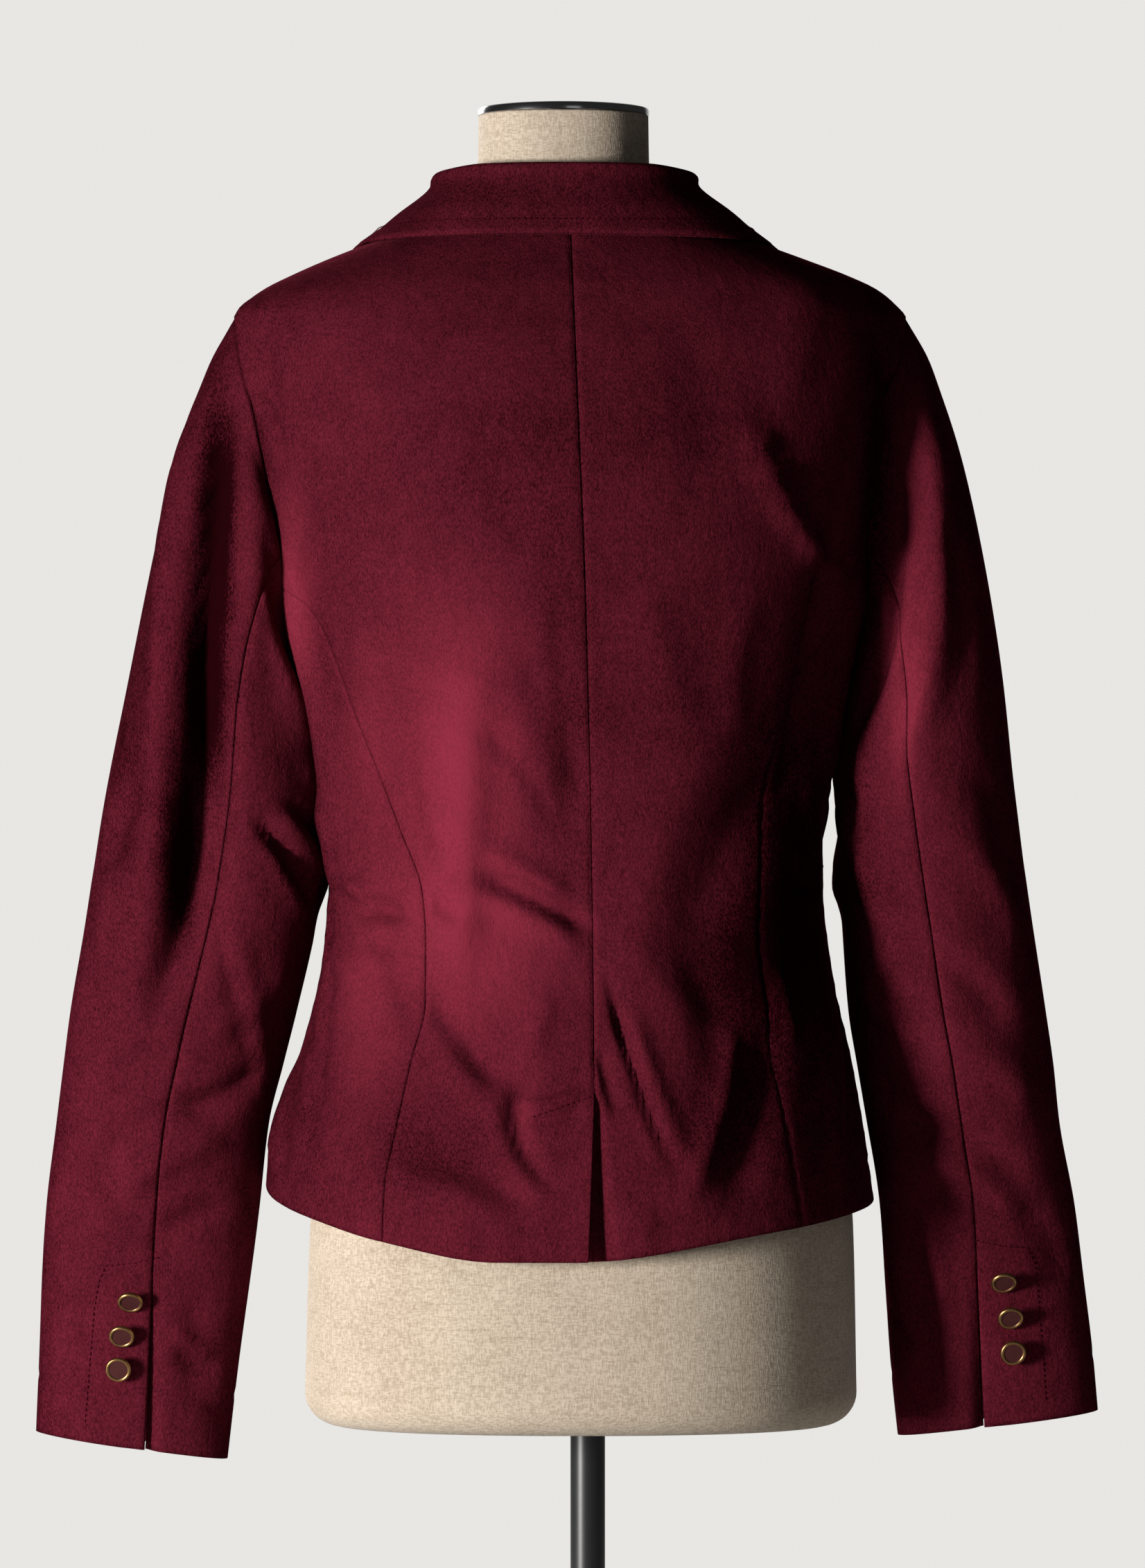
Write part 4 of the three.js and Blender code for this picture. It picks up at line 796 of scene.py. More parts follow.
class Sleeve:
    """A sleeve's surface: the share runs from the armhole, past the head, to the cuff."""

    def __init__(self, is_left):
        rows = SLEEVE[side_name(is_left)]
        self.is_left, self.sign = is_left, 1 if is_left else -1
        self.cuff_z = rows["z"][0]
        self.outer, self.inner = curve(rows, "z", "outer"), curve(rows, "z", "inner")
        self.middle, self.half, self.slant = (
            curve(SLEEVE_DEPTH, "z", name) for name in ("middle", "half", "slant"))
        phi, share = np.meshgrid(np.radians(np.arange(4, 178, 2)), np.linspace(0, 1, 200))
        self.back_phi, self.back_points = phi, self.at(phi, share)
        placed = [(self.nearest_phi(x1, z1), z1, self.nearest_phi(x2, z2), z2, *shape)
                  for x1, z1, x2, z2, *shape in SLEEVE_BACK_CREASES[side_name(is_left)]]
        placed += in_radians(SLEEVE_CREASES[side_name(is_left)])
        self.creases = creases(placed, lambda phi, z: HEAD["radius"])

    def nearest_phi(self, x, z):
        """Angle at which the back of the sleeve passes nearest to a side distance and height."""
        away = np.hypot(self.back_points[..., 0] - x, self.back_points[..., 2] - z)
        return float(self.back_phi.flat[np.argmin(away)])

    def ring(self, phi, z):
        exponent = 2 / HEAD["square"]
        x = mix(self.inner(z), self.outer(z), (1 + power(np.cos(phi), exponent)) / 2)
        y = self.middle(z) + self.half(z) * power(np.sin(phi), exponent)
        return points(x, y, z + self.slant(z) * np.cos(phi))

    def armhole(self, phi):
        z = ARMHOLE["z"] + ARMHOLE["half_height"] * np.cos(phi)
        sine = np.sin(phi)
        y = np.where(sine >= 0, ARMHOLE["back"], ARMHOLE["front"]) * sine
        edge = skin(body.angle_at_y(y, z, not self.is_left), z, -SEAM_DIP["depth"])
        return edge + np.array([self.sign * HEAD["gap"], 0, 0])

    def at(self, phi, share):
        phi, share = np.broadcast_arrays(np.asarray(phi, float), np.asarray(share, float))
        down = np.clip((share - HEAD["share"]) / (1 - HEAD["share"]), 0, None)
        low = self.ring(phi, mix(HEAD["z"], self.cuff_z, down))
        s = np.minimum(share / HEAD["share"], 1)[..., None]
        start, end = self.armhole(phi), self.ring(phi, HEAD["z"])
        high = (1 + np.cos(phi)) / 2
        pull = points(
            self.sign * mix(HEAD_PULL["bottom"][0], HEAD_PULL["top"][0], high),
            HEAD["side"] * np.sin(phi),
            -mix(HEAD_PULL["bottom"][1], HEAD_PULL["top"][1], high),
        )
        drop = (start[..., 2:] - HEAD["z"]) / HEAD["settle"]
        settle = (self.ring(phi, HEAD["z"] - HEAD["settle"]) - end) * drop
        top = hermite(start, end, pull, settle, s)
        return np.where((share >= HEAD["share"])[..., None], low, top)

    def normal(self, phi, share):
        return -self.sign * normal_of(self.at, phi, share, *SLEEVE_STEP)

    def surface(self, phi, share, lift=0.0):
        base = self.at(phi, share)
        folds = self.creases(phi, base[..., 2])
        folds = folds + WAVE * ripple(phi * HEAD["radius"], base[..., 2], 5.0 + self.sign)
        folds = folds * smooth_step(np.asarray(share) / HEAD["calm"])
        return base + self.normal(phi, share) * np.expand_dims(lift + folds, -1)

    def share_at(self, z):
        return mix(HEAD["share"], 1, (z - HEAD["z"]) / (self.cuff_z - HEAD["z"]))

    def phi_at(self, x, z):
        """Angle at which the back of the sleeve passes a side distance."""
        across = 2 * (x - self.inner(z)) / (self.outer(z) - self.inner(z)) - 1
        return np.arccos(np.clip(power(across, HEAD["square"] / 2), -1, 1))


SLEEVES = {True: Sleeve(True), False: Sleeve(False)}
sleeve_back = curve(SLEEVE_SEAMS, "share", "back")
sleeve_front = curve(SLEEVE_SEAMS, "share", "front")
SLEEVE_GRID = {"head": 44, "arm": 110, "top": 44, "under": 34}


def sleeve_piece(is_left, is_top):
    """One piece of a two-piece sleeve: the top sleeve outside or the under sleeve inside."""
    arm = SLEEVES[is_left]
    shares = np.concatenate([np.linspace(0, HEAD["share"], SLEEVE_GRID["head"] + 1),
                             np.linspace(HEAD["share"], 1, SLEEVE_GRID["arm"] + 1)[1:]])
    u, share = np.meshgrid(clustered(SLEEVE_GRID["top" if is_top else "under"]), shares,
                           indexing="ij")
    gap = SEAM / 2 / HEAD["radius"]
    back, front = np.radians(sleeve_back(share)), np.radians(sleeve_front(share))
    phi = mix(front - FULL + gap, back - gap, u) if is_top else mix(back + gap, front - gap, u)
    base = arm.at(phi, share)
    from_first, from_last = edge_distance(base)
    lift = seam_dip(from_first, base[..., 2], 1.0) + seam_dip(from_last, base[..., 2], 2.0)
    over_cuff = (1 - share) / (1 - HEAD["share"]) * (HEAD["z"] - arm.cuff_z)
    lift -= HEM_LINE["depth"] * np.exp(-((over_cuff - CUFF["hem"]) / HEM_LINE["width"]) ** 2)
    lift = lift * smooth_step(share / 0.04)
    lift += HEAD_ROLL["height"] * np.exp(-((share - HEAD_ROLL["share"]) / HEAD_ROLL["width"]) ** 2)
    down = np.clip((CUFF["vent"] - over_cuff) / CUFF["vent"], 0, 1)
    seam_edge = from_last if is_top else from_first
    lift -= (0 if is_top else CUFF["sink"]) * down * np.exp(-(seam_edge / 5) ** 2)
    name = f"velvet_{'top' if is_top else 'under'}_sleeve_{side_name(is_left)}"
    return wall(name, arm.surface(phi, share, lift), arm.surface(phi, share, lift - CLOTH))


CUFF = {"hem": 35, "vent": 105, "sink": 6}
HEAD_ROLL = {"height": 1.2, "share": 0.035, "width": 0.022}


FORM_SHAPE = {"bottom": 221, "round": 18, "columns": 96, "cap_rows": 10}


def rings_object(name, rings):
    """A closed smooth body from rings of points, with a flat four-sided fan at each end."""
    rings = np.stack(rings)
    levels, count = rings.shape[:2]
    number = np.arange(levels * count).reshape(levels, count)
    following = np.roll(number, -1, axis=1)
    faces = np.stack([number[:-1], following[:-1], following[1:], number[1:]], -1).reshape(-1, 4)
    centres = np.stack([rings[0].mean(0), rings[-1].mean(0)])
    ends = []
    for level, centre in ((0, levels * count), (-1, levels * count + 1)):
        ring = number[level]
        for i in range(0, count, 2):
            ends.append((centre, ring[i], ring[(i + 1) % count], ring[(i + 2) % count]))
    faces = np.concatenate([faces, oriented(ends[:count // 2], True), oriented(ends[count // 2:], False)])
    return mesh_object(name, np.concatenate([rings.reshape(-1, 3), centres]) * MM, faces)


def oriented(fan, flip):
    fan = np.array(fan)
    return fan[:, ::-1] if flip else fan


def form_torso():
    """Linen torso with its rounded bottom edge and the sunk lines of its seams."""
    form = Sections(FORM)
    angle = np.linspace(0, FULL, FORM_SHAPE["columns"], endpoint=False)

    def ring(z, inset):
        out = normal_of(form.at, angle, z, *BODY_STEP)
        out[:, 2] = 0
        out = out / np.linalg.norm(out, axis=-1, keepdims=True)
        dip = sum(np.exp(-((turn(seam, angle) * GIRTH) / 2.6) ** 2) for seam in FORM_SEAMS)
        return form.at(angle, z) - out * np.expand_dims(inset + 0.8 * dip, -1)

    bottom, radius = FORM_SHAPE["bottom"], FORM_SHAPE["round"]
    rings = []
    for tilt in np.linspace(0, math.pi / 2, FORM_SHAPE["cap_rows"], endpoint=False):
        ring_points = ring(np.full_like(angle, bottom + radius), radius * (1 - math.sin(tilt)))
        ring_points[:, 2] = bottom + radius * (1 - math.cos(tilt))
        rings.append(ring_points)
    for z in np.concatenate([np.arange(bottom + radius, 850, 8.0), np.arange(850, 974, 3.0), [974.0]]):
        rings.append(ring(np.full_like(angle, z), 0.0))
    return rings_object("linen_form", rings)


FORM_SEAMS = np.radians([28, 144, 216, 270, 332])


def lathe(name, profile, segments, place_at=None, axis=(0, 0, 1)):
    """A turned piece from (radius, height) rows in millimetres, standing on a place."""
    profile = np.array(profile, float)
    closed = profile[0][0] > 0
    angle = np.linspace(0, FULL, segments, endpoint=False)
    rings = [points(r * np.cos(angle), r * np.sin(angle), h) for r, h in profile if r > 0]
    turn_to = Vector((0, 0, 1)).rotation_difference(Vector(axis)).to_matrix()
    matrix = np.array(turn_to)
    origin = np.zeros(3) if place_at is None else np.asarray(place_at)
    rings = [ring @ matrix.T + origin for ring in rings]
    if closed:
        return ring_loop(name, rings)
    return rings_object(name, rings)


def ring_loop(name, rings):
    """A ring-shaped closed body whose last ring joins its first."""
    rings = np.stack(rings)
    levels, count = rings.shape[:2]
    number = np.arange(levels * count).reshape(levels, count)
    above, following = np.roll(number, -1, axis=0), np.roll(number, -1, axis=1)
    over = np.roll(above, -1, axis=1)
    faces = np.stack([number, following, over, above], -1).reshape(-1, 4)
    return mesh_object(name, rings.reshape(-1, 3) * MM, faces)


def sharp(piece, degrees=35):
    """Sharp edges where a turned piece has corners."""
    mesh = piece.data
    mesh.set_sharp_from_angle(angle=math.radians(degrees))
    return piece


# Stitch: a small capsule along the cloth
STITCH = {
    "blunt": 0.06, "arch": 1.6, "length": 2.4, "gap": 0.9, "radius": 0.28, "sink": 0.05, "sides": 6, "rows": 5,
}


def resampled(path, step):
    """Points a step apart along a path, and the direction at each."""
    lengths = np.linalg.norm(np.diff(path, axis=0), axis=1)
    run = np.concatenate([[0], np.cumsum(lengths)])
    at = np.arange(step / 2, run[-1], step)
    place_at = np.stack([np.interp(at, run, path[:, i]) for i in range(3)], 1)
    ahead = np.stack([np.interp(at + 0.5, run, path[:, i]) for i in range(3)], 1)
    behind = np.stack([np.interp(at - 0.5, run, path[:, i]) for i in range(3)], 1)
    way = ahead - behind
    return place_at, way / np.maximum(np.linalg.norm(way, axis=1, keepdims=True), 1e-9), at / run[-1]


def stitches(name, paths):
    """Rows of stitches along paths of (points, outward normals) in millimetres, as one mesh."""
    step = STITCH["length"] + STITCH["gap"]
    vertices, faces, start = [], [], 0
    ring = np.linspace(0, FULL, STITCH["sides"], endpoint=False)
    shares = np.linspace(-1, 1, STITCH["rows"])
    for path, normals in paths:
        places, ways, along = resampled(path, step)
        run = np.linspace(0, 1, len(normals))
        outs = np.stack([np.interp(along, run, normals[:, i]) for i in range(3)], 1)
        for place_at, way, out in zip(places, ways, outs):
            out = out - way * np.dot(out, way)
            out = out / np.linalg.norm(out)
            beside = np.cross(way, out)
            for share in shares:
                thick = STITCH["radius"] * math.sqrt(max(STITCH["blunt"], 1 - share ** 4))
                centre = (place_at + way * share * STITCH["length"] / 2
                          + out * (STITCH["radius"] * (1 - STITCH["arch"] * share ** 2) - STITCH["sink"]))
                vertices.append(centre + thick * (np.cos(ring)[:, None] * beside
                                                  + np.sin(ring)[:, None] * out))
            sides = STITCH["sides"]
            for row in range(STITCH["rows"] - 1):
                for k in range(sides):
                    a, b = start + row * sides + k, start + row * sides + (k + 1) % sides
                    faces.append((a, b, b + sides, a + sides))
            last = start + (STITCH["rows"] - 1) * sides
            faces += [(start + 3, start + 2, start + 1, start), (start + 5, start + 4, start + 3, start),
                      (last, last + 1, last + 2, last + 3), (last, last + 3, last + 4, last + 5)]
            start += STITCH["rows"] * sides
    return mesh_object(name, np.concatenate(vertices) * MM, np.array(faces))


def node_of(tree, kind, **values):
    """A new shader node with its properties and its inputs set by name."""
    node = tree.nodes.new(kind)
    for name, value in values.items():
        if hasattr(node, name):
            setattr(node, name, value)
        else:
            node.inputs[name].default_value = value
    return node


def principled(name, **constants):
    """A material with one Principled shader: its tree, its shader and its object coordinates."""
    material = bpy.data.materials.new(name)
    material.use_nodes = True
    tree = material.node_tree
    shader = tree.nodes["Principled BSDF"]
    for key, value in constants.items():
        shader.inputs[key].default_value = value
    coordinates = tree.nodes.new("ShaderNodeTexCoord").outputs["Object"]
    return material, tree, shader, coordinates


def stretched(tree, coordinates, x=1.0, y=1.0, z=1.0):
    mapping = node_of(tree, "ShaderNodeMapping", Scale=(x, y, z))
    tree.links.new(coordinates, mapping.inputs["Vector"])
    return mapping.outputs["Vector"]


def noise(tree, vector, scale, detail=3.0, roughness=0.55, distortion=0.0):
    node = node_of(tree, "ShaderNodeTexNoise", Scale=scale, Detail=detail,
                   Roughness=roughness, Distortion=distortion)
    tree.links.new(vector, node.inputs["Vector"])
    return node.outputs["Fac"]


def spread(tree, value, low, high, to_low=0.0, to_high=1.0):
    """A value moved from one range to another, clamped."""
    node = tree.nodes.new("ShaderNodeMapRange")
    for key, number in (("From Min", low), ("From Max", high), ("To Min", to_low), ("To Max", to_high)):
        node.inputs[key].default_value = number
    tree.links.new(value, node.inputs["Value"])
    return node.outputs["Result"]


def combine(tree, operation, a, b):
    node = tree.nodes.new("ShaderNodeMath")
    node.operation = operation
    for socket, value in zip(node.inputs, (a, b)):
        if isinstance(value, (int, float)):
            socket.default_value = value
        else:
            tree.links.new(value, socket)
    return node.outputs["Value"]


def blend(tree, factor, dark, light):
    """A colour between two, each a colour or a socket."""
    node = tree.nodes.new("ShaderNodeMix")
    node.data_type = "RGBA"
    tree.links.new(factor, node.inputs["Factor"])
    for key, value in (("A", dark), ("B", light)):
        socket = next(s for s in node.inputs if s.name == key and s.type == "RGBA")
        if isinstance(value, tuple):
            socket.default_value = (*value, 1)
        else:
            tree.links.new(value, socket)
    return next(s for s in node.outputs if s.type == "RGBA")


def bump(tree, shader, height, strength, distance):
    node = node_of(tree, "ShaderNodeBump", Strength=strength, Distance=distance)
    tree.links.new(height, node.inputs["Height"])
    tree.links.new(node.outputs["Normal"], shader.inputs["Normal"])
    return node.outputs["Normal"]


def velvet():
    """Crushed velveteen: random crushed and worn patches, a painted sheen that lightens it where it faces the
    eye and darkens its edges, and the painted highlights and painted shade written on each piece.
    """
    material, tree, shader, at = principled(
        "velvet", Roughness=0.7, **{"Specular IOR Level": 0.0, "Sheen Weight": 0.12,
                                    "Sheen Roughness": 0.3, "Sheen Tint": (0.6, 0.08, 0.14, 1)})
    patches = noise(tree, at, 19, 4, 0.6, 0.8)
    crush = noise(tree, stretched(tree, at, 1.2, 1.2, 0.7), 120, 3, 0.6, 0.5)
    nap_and_painted_light = noise(tree, stretched(tree, at, 1, 1, 0.45), 1250, 2, 0.6)
    facing = tree.nodes.new("ShaderNodeLayerWeight")
    facing.inputs["Blend"].default_value = 0.4
    height = combine(tree, "ADD", combine(tree, "MULTIPLY", crush, 0.8), combine(tree, "MULTIPLY", nap_and_painted_light, 0.3))
    normal = bump(tree, shader, height, 0.75, 0.0012)
    tree.links.new(normal, facing.inputs["Normal"])
    crush_tone_and_painted_sheen = combine(tree, "ADD", spread(tree, patches, 0.3, 0.7, 0, 0.12),
                     spread(tree, crush, 0.3, 0.7, 0, 0.08))
    crush_tone_and_painted_sheen = combine(tree, "ADD", crush_tone_and_painted_sheen, spread(tree, nap_and_painted_light, 0.34, 0.66, -0.1, 0.26))
    # painted sheen: brighter where the surface faces the eye, darker towards its edges
    crush_tone_and_painted_sheen = combine(tree, "ADD", crush_tone_and_painted_sheen, spread(tree, facing.outputs["Facing"], 0.05, 0.75, 0.22, -0.06))
    # painted highlights and painted shade written on each piece
    pile_and_painted_light_amount = node_of(tree, "ShaderNodeAttribute", attribute_name="nap_and_painted_light")
    lit = combine(tree, "ADD", crush_tone_and_painted_sheen, pile_and_painted_light_amount.outputs["Fac"])
    colour = blend(tree, lit, VELVET["dark"], VELVET["bright"])
    tree.links.new(colour, shader.inputs["Base Color"])
    return material


# Painted highlights and painted shade in the velvet's colour, partly also how the pile lies (darkest in the
# sleeves' troughs, by the armholes and on the right side turned from the light): side distance, height, reach
# across and up, amount
PAINTED_LIGHT_AND_PILE = {
    "back": (
        (70, 600, 34, 84, 0.62), (62, 500, 46, 44, 0.5), (124, 610, 16, 60, 0.25),
        (126, 470, 18, 60, 0.25), (38, 400, 12, 44, 0.25), (168, 690, 12, 56, 0.5),
        (14, 620, 26, 80, -0.12), (-50, 640, 40, 70, -0.1), (-60, 800, 60, 50, -0.12),
        (26, 770, 44, 60, -0.14), (10, 925, 80, 20, -0.17), (-190, 770, 8, 44, 0.35),
        (-183, 640, 12, 60, 0.5), (-200, 500, 14, 70, 0.12), (84, 384, 44, 26, -0.15),
        (-66, 402, 20, 40, -0.2),
        (-130, 480, 40, 120, -0.2), (262, 640, 24, 120, -0.1), (-95, 430, 24, 70, -0.15),
        (212, 740, 9, 64, -0.7), (219, 640, 10, 44, -0.7), (234, 550, 9, 50, -0.6),
        (-112, 560, 26, 80, -0.3), (-84, 490, 32, 36, -0.25), (-164, 750, 9, 80, -0.35),
    ),
    "front": (
        (-60, 610, 30, 80, 0.4), (70, 560, 34, 90, 0.35), (-40, 420, 40, 50, 0.2),
        (90, 760, 40, 50, -0.1), (-90, 770, 40, 50, -0.1), (20, 500, 26, 70, -0.1),
        (-180, 640, 14, 70, 0.3), (180, 620, 14, 70, 0.3),
    ),
}


def lay_painted_light_and_pile(piece):
    """Writes painted highlights and painted shade, partly also how the pile lies, at each point of a velvet
    piece, for its finish to read.
    """
    count = len(piece.data.vertices)
    at = np.empty(count * 3)
    piece.data.vertices.foreach_get("co", at)
    x, y, z = (at.reshape(-1, 3) / MM).T
    pile_and_painted_light_amount = np.zeros(count)
    for rows, share in ((PAINTED_LIGHT_AND_PILE["back"], smooth_step(y / 40 + 0.5)), (PAINTED_LIGHT_AND_PILE["front"], smooth_step(0.5 - y / 40))):
        for side, up, across, high, amount in rows:
            pile_and_painted_light_amount += share * amount * np.exp(-((x - side) / across) ** 2 - ((z - up) / high) ** 2)
    piece.data.attributes.new("nap_and_painted_light", "FLOAT", "POINT").data.foreach_set("value", pile_and_painted_light_amount.astype(np.float32))


# Ends of the velvet's colour blend: painted shade pulls it towards the near-black dark end, painted highlight
# towards the bright end
VELVET = {"dark": (0.010, 0.0007, 0.0016), "bright": (0.18, 0.0175, 0.035)}


def linen():
    material, tree, shader, at = principled(
        "linen", Roughness=0.9, **{"Specular IOR Level": 0.15, "Sheen Weight": 0.1,
                                   "Sheen Roughness": 0.6})
    weft = noise(tree, stretched(tree, at, 0.25, 0.25, 1), 1200, 2)
    warp = noise(tree, stretched(tree, at, 1, 1, 0.25), 1200, 2)
    weave = combine(tree, "ADD", weft, warp)
    slubs = noise(tree, stretched(tree, at, 0.06, 0.06, 1), 420, 1)
    patches = noise(tree, at, 16, 3)
    tone = combine(tree, "ADD", spread(tree, weave, 0.82, 1.18, 0, 0.7),
                   spread(tree, patches, 0.3, 0.7, 0, 0.3))
    tone = combine(tree, "SUBTRACT", tone, spread(tree, slubs, 0.62, 0.8, 0, 0.3))
    colour = blend(tree, tone, (0.33, 0.26, 0.19), (0.55, 0.46, 0.365))
    tree.links.new(colour, shader.inputs["Base Color"])
    bump(tree, shader, weave, 0.5, 0.0004)
    return material


def plain(name, colour, grain, variation=0.12, height=0.0, **constants):
    """A finish with a slight unevenness of its colour and, where it has any, its surface."""
    material, tree, shader, at = principled(name, **constants)
    value = noise(tree, at, grain, 3)
    dark = tuple(c * (1 - variation) for c in colour)
    light = tuple(min(1, c * (1 + variation)) for c in colour)
    tree.links.new(blend(tree, value, dark, light), shader.inputs["Base Color"])
    if height:
        bump(tree, shader, value, 0.4, height)
    return material


VELVET_FINISH = velvet()
THREAD = plain("thread", (0.045, 0.003, 0.009), 2000, 0.2, Roughness=0.8,
               **{"Specular IOR Level": 0.0})
LINEN_FINISH = linen()
CHROME = plain("dark_chrome", (0.36, 0.36, 0.37), 60, 0.05, Roughness=0.16, Metallic=1.0)
BLACK = plain("satin_black", (0.012, 0.012, 0.013), 240, 0.15, 0.00004, Roughness=0.38)
BRASS = plain("old_brass", (0.30, 0.17, 0.07), 500, 0.35, 0.00008, Roughness=0.36, Metallic=1.0)
FACE = plain("button_face", (0.05, 0.012, 0.012), 300, 0.2, Roughness=0.45,
             **{"Specular IOR Level": 0.15})


def finish(piece, slot_name, *materials, nodes=()):
    """Gives a piece its materials and its body, and hides the solids that it stands for. slot_name is not
    used.
    """
    for material in materials:
        piece.data.materials.append(material)
    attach(piece, BODY_ROOT)
    if nodes:
        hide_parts(*nodes)
    return piece


finish(form_torso(), "linen", LINEN_FINISH, nodes=["form_torso"])

# Cut of what shows of each piece: width, length and area in metres
CUT = {
    "back": (0.23, 0.66, 0.098), "side_back": (0.12, 0.44, 0.036), "front": (0.27, 0.66, 0.115),
    "lapel": (0.09, 0.27, 0.014), "top_sleeve": (0.25, 0.74, 0.125), "under_sleeve": (0.17, 0.60, 0.062),
    "collar": (0.11, 0.50, 0.042),
}
cloth = []
for is_left in (True, False):
    side = side_name(is_left)
    for kind, piece in (
        ("back", back_panel(is_left)), ("side_back", side_panel(is_left)),
        ("front", front_panel(is_left)), ("lapel", lapel(is_left)),
        ("top_sleeve", sleeve_piece(is_left, True)), ("under_sleeve", sleeve_piece(is_left, False)),
    ):
        cloth.append((kind, finish(piece, "velvet", VELVET_FINISH, nodes=[f"{kind}_{side}"])))
cloth.append(("collar", finish(collar(), "velvet", VELVET_FINISH, nodes=["collar"])))
# Painted highlights and painted shade written on every velvet piece
for kind, piece in cloth:
    lay_painted_light_and_pile(piece)
    width, length, area = CUT[kind]

# Buttons: a domed brass rim round a flat face, on a shank, tilted as their thread lets them
BUTTON = (
    (0.0, 0.3), (0.28, 0.3), (0.28, 1.7), (0.6, 1.9), (0.85, 2.2), (0.96, 2.8), (1.0, 3.6),
    (0.985, 4.2), (0.94, 4.8), (0.87, 5.1), (0.79, 5.0), (0.73, 4.6), (0.7, 4.35), (0.4, 4.4), (0.0, 4.4),
)
FACE_SHARE = 0.72
CUFF_BUTTONS = {
    True: table("x z", (262.6, 293.5), (267.5, 273), (269.5, 252.8)),
    False: table("x z", (-238.6, 304.6), (-242.6, 283.4), (-244.2, 262.3)),
}
FRONT_BUTTONS = (580, 500)
BUTTON_RADIUS = {"cuff": 7.5, "front": 10}
BUTTON_HANG = {"shank": 2.4, "tilt": (0.75, 0.55, 0.22)}


def button(name, radius, place_at, normal, node):
    profile = [(share * radius, height) for share, height in BUTTON]
    piece = lathe(name, profile, 40, place_at, normal)
    finish(piece, "old_brass", BRASS, FACE, nodes=[node])
    middle, axis = Vector(place_at) * MM, Vector(normal).normalized()
    for face in piece.data.polygons:
        out = face.center - middle
        height = out.dot(axis)
        if height > 4.2 * MM and (out - axis * height).length < FACE_SHARE * radius * MM:
            face.material_index = 1
    return sharp(piece, 40)


for is_left in (True, False):
    arm, side = SLEEVES[is_left], side_name(is_left)
    for i, (x, z) in enumerate(zip(CUFF_BUTTONS[is_left]["x"], CUFF_BUTTONS[is_left]["z"]), 1):
        phi, share = arm.phi_at(x, z), arm.share_at(z)
        out = arm.normal(phi, share)
        place_at = arm.surface(phi, share) + out * BUTTON_HANG["shank"]
        hang = out + np.array([0, 0, -BUTTON_HANG["tilt"][i - 1]])
        button(f"button_{side}_{i}", BUTTON_RADIUS["cuff"], place_at, hang, f"cuff_button_{side}_{i}")
for i, z in enumerate(FRONT_BUTTONS, 1):
    angle = front_angle(False, z, 0)
    place_at = front_skin(False, angle, float(z), 0.0)
    button(f"button_front_{i}", BUTTON_RADIUS["front"], place_at, body_normal(angle, z),
           f"front_button_{i}")

# Stand
NECK_CAP = {"x": 14, "y": -2}
cap_z, cap_radius, cap_top = 974.3, 49.5, 979.0
pole_radius, pole_bottom, pole_top = 10, 10.0 + SEAM, 221.0 - SEAM
cap = lathe("neck_ring", [
    (0, cap_z), (cap_radius - 0.6, cap_z), (cap_radius, cap_z + 0.6), (cap_radius, cap_top - 1.6),
    (cap_radius - 0.5, cap_top - 0.5), (cap_radius - 1.6, cap_top), (cap_radius - 9, cap_top),
    (cap_radius - 10, cap_top - 0.8), (0, cap_top - 0.8),
], 96, (NECK_CAP["x"], NECK_CAP["y"], 0))
sharp(finish(cap, "dark_chrome", CHROME, nodes=["neck_cap"]))
pole = lathe("stand_pole", [
    (0, pole_bottom), (pole_radius, pole_bottom), (pole_radius, pole_top), (0, pole_top),
], 48)
sharp(finish(pole, "satin_black", BLACK, nodes=["pole"]))
socket = lathe("stand_socket", [
    (10.3, 10.3), (24.6, 10.3), (25, 10.8), (25, 12.8), (24.4, 13.3), (17.6, 17.0), (17, 18), (17, 44.6),
    (16.5, 45.7), (15.4, 46.3), (10.8, 46.3), (10.3, 45.8),
], 64)
sharp(finish(socket, "satin_black", BLACK, nodes=["pole_socket"]))
base = lathe("stand_base", [
    (0, 0), (149.4, 0), (150, 0.6), (150, 5.6), (149.2, 7.2), (147.4, 9.2), (145.6, 10), (0, 10),
], 160)
sharp(finish(base, "satin_black", BLACK, nodes=["base_plate"]))


# Stitching in the velvet's own colour
def collar_path(share):
    at = collar_stations()
    rows = np.full((len(at["s"]), 1), share)
    line, out, _ = collar_points(at, rows, np.full_like(rows, LAYER + CLOTH + 0.1))
    line = line[4:-4, 0]
    normals = np.stack([body_normal(a, z) for a, z in zip(at["leaf_angle"], at["leaf_z"])])
    return line, normals[4:-4]


def body_path(angle, z, lift=0.15):
    return skin(angle, z, np.full(np.shape(z), lift)), body_normal(angle, z)


def lapel_path(is_left):
    up = np.linspace(0.06, 0.97, 120)
    share = 1 - 6.0 / np.maximum(8, lapel_width(mix(LAPEL["start"][side_name(is_left)], 840, up)))
    z = mix(LAPEL["start"][side_name(is_left)], gorge_z(share * LAPEL_EDGE["width"][-1]), up)
    angle = front_angle(is_left, z, front_reach(z) - SEAM - share * lapel_width(z))
    return front_skin(is_left, angle, z, np.full_like(z, LAYER + CLOTH + 0.3)), body_normal(angle, z)


def edge_path(is_left):
    z = np.linspace(HEM["z"].min() + 24, LAPEL["start"][side_name(is_left)] - 6, 160)
    angle = front_angle(is_left, z, front_reach(z) - 6)
    return front_skin(is_left, angle, z, np.full_like(z, 0.15)), body_normal(angle, z)


# Stitched corner over each cuff's vent: side distance and height along it
PLACKET = {
    True: table("x z", (246, 317), (262, 313), (277, 311), (281, 302), (284, 285), (290, 216)),
    False: table("x z", (-222, 327), (-238, 323), (-253, 321), (-257, 312), (-259, 296), (-264, 230)),
}


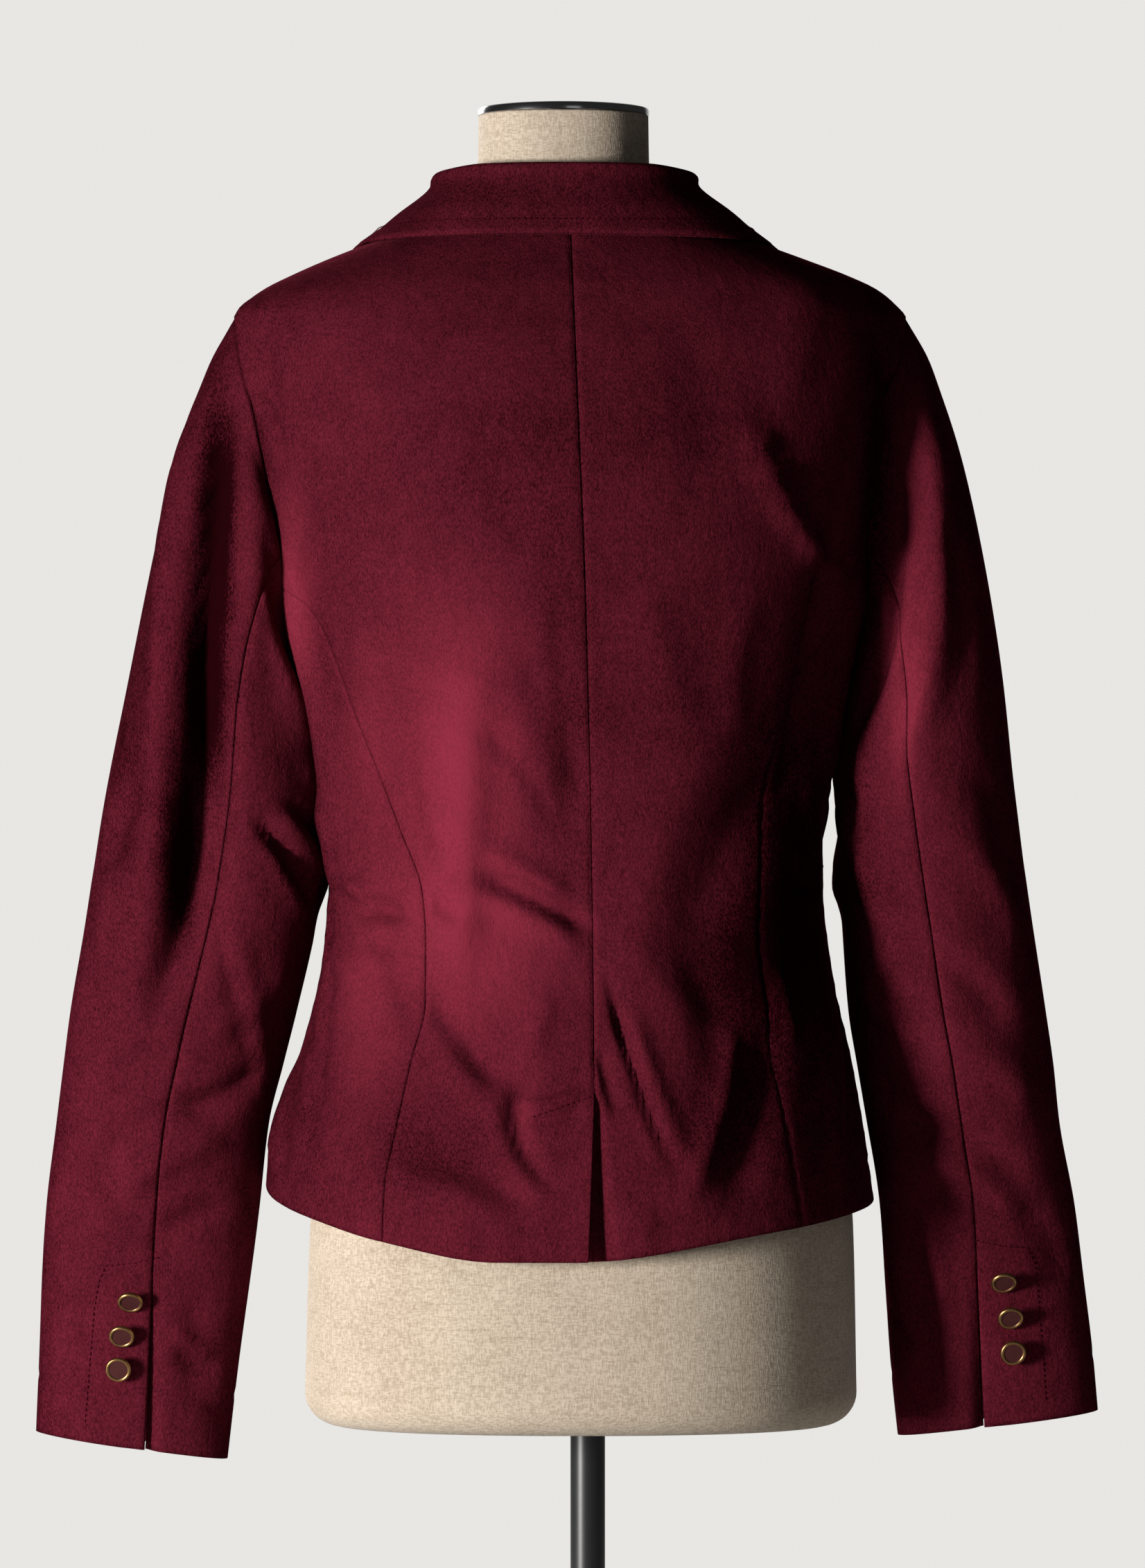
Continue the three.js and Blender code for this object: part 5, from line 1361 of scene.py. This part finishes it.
def placket_path(is_left):
    arm, rows = SLEEVES[is_left], PLACKET[is_left]
    run = np.linspace(0, len(rows["x"]) - 1, 60)
    x, z = (np.interp(run, np.arange(len(rows["x"])), rows[key]) for key in ("x", "z"))
    phi, share = arm.phi_at(x, z), arm.share_at(z)
    return arm.surface(phi, share, 0.15), arm.normal(phi, share)


vent_x, vent_z = np.linspace(31.8, -1.5, 30), np.linspace(402, 413.5, 30)
thread = [
    stitches("stitch_collar", [collar_path(0.2)]),
    stitches("stitch_vent", [body_path(body.angle_at_x(vent_x, vent_z), vent_z)]),
    stitches("stitch_lapels", [lapel_path(True), lapel_path(False)]),
    stitches("stitch_fronts", [edge_path(False)]),
    stitches("stitch_cuffs", [placket_path(True), placket_path(False)]),
]
for piece in thread:
    finish(piece, "velvet", THREAD)

# Camera at the photograph's place
camera = bpy.data.objects.new("camera", bpy.data.cameras.new("camera"))
camera.location = (CAMERA["x"] * MM, CAMERA["y"] * MM, CAMERA["z"] * MM)
camera.rotation_euler = (math.pi / 2, 0, math.pi)
camera.data.sensor_width = CAMERA["sensor_mm"]
camera.data.lens = CAMERA["focal_px"] / PHOTO_HEIGHT * CAMERA["sensor_mm"]
bpy.context.scene.collection.objects.link(camera)
bpy.context.scene.camera = camera

# Pale round floor under the stand
floor = lathe("floor", [(0, -12), (1250, -12), (1250, -0.05), (0, -0.05)], 128)
floor.data.materials.append(plain("pale_floor", (0.8, 0.79, 0.77), 3, 0.02, Roughness=0.9))
sharp(floor)


def area_light(name, place_at, aim, size, watts, colour=(1, 1, 1)):
    light = bpy.data.lights.new(name, "AREA")
    light.shape, light.size, light.size_y = "RECTANGLE", size[0], size[1]
    light.energy, light.color = watts, colour
    lamp = bpy.data.objects.new(name, light)
    lamp.location = place_at
    lamp.rotation_euler = (Vector(aim) - Vector(place_at)).to_track_quat("-Z", "Y").to_euler()
    bpy.context.scene.collection.objects.link(lamp)


area_light("key", (2.65, 2.15, 0.45), (0, 0, 0.6), (0.5, 0.8), 190, (1, 0.985, 0.96))
area_light("fill", (-0.9, 3.8, 1.3), (0, 0, 0.6), (1.2, 1.6), 3)
area_light("front_key", (1.6, -2.8, 1.8), (0, 0, 0.62), (1.2, 1.6), 90)


def studio_world():
    """A pale backdrop behind the object as the camera sees it, and dimmer walls all round."""
    world = bpy.data.worlds.new("studio")
    world.use_nodes = True
    tree = world.node_tree
    direction = tree.nodes.new("ShaderNodeTexCoord").outputs["Generated"]
    dot = tree.nodes.new("ShaderNodeVectorMath")
    dot.operation = "DOT_PRODUCT"
    tree.links.new(direction, dot.inputs[0])
    dot.inputs[1].default_value = (0, -1, 0)
    toward = spread(tree, dot.outputs["Value"], math.cos(0.6), math.cos(0.2))
    colour = blend(tree, toward, WALLS["side"], WALLS["back"])
    tree.links.new(colour, tree.nodes["Background"].inputs["Color"])
    bpy.context.scene.world = world


WALLS = {"side": (0.04, 0.04, 0.04), "back": (0.805, 0.795, 0.77)}
studio_world()
bpy.context.scene.view_settings.view_transform = "Standard"
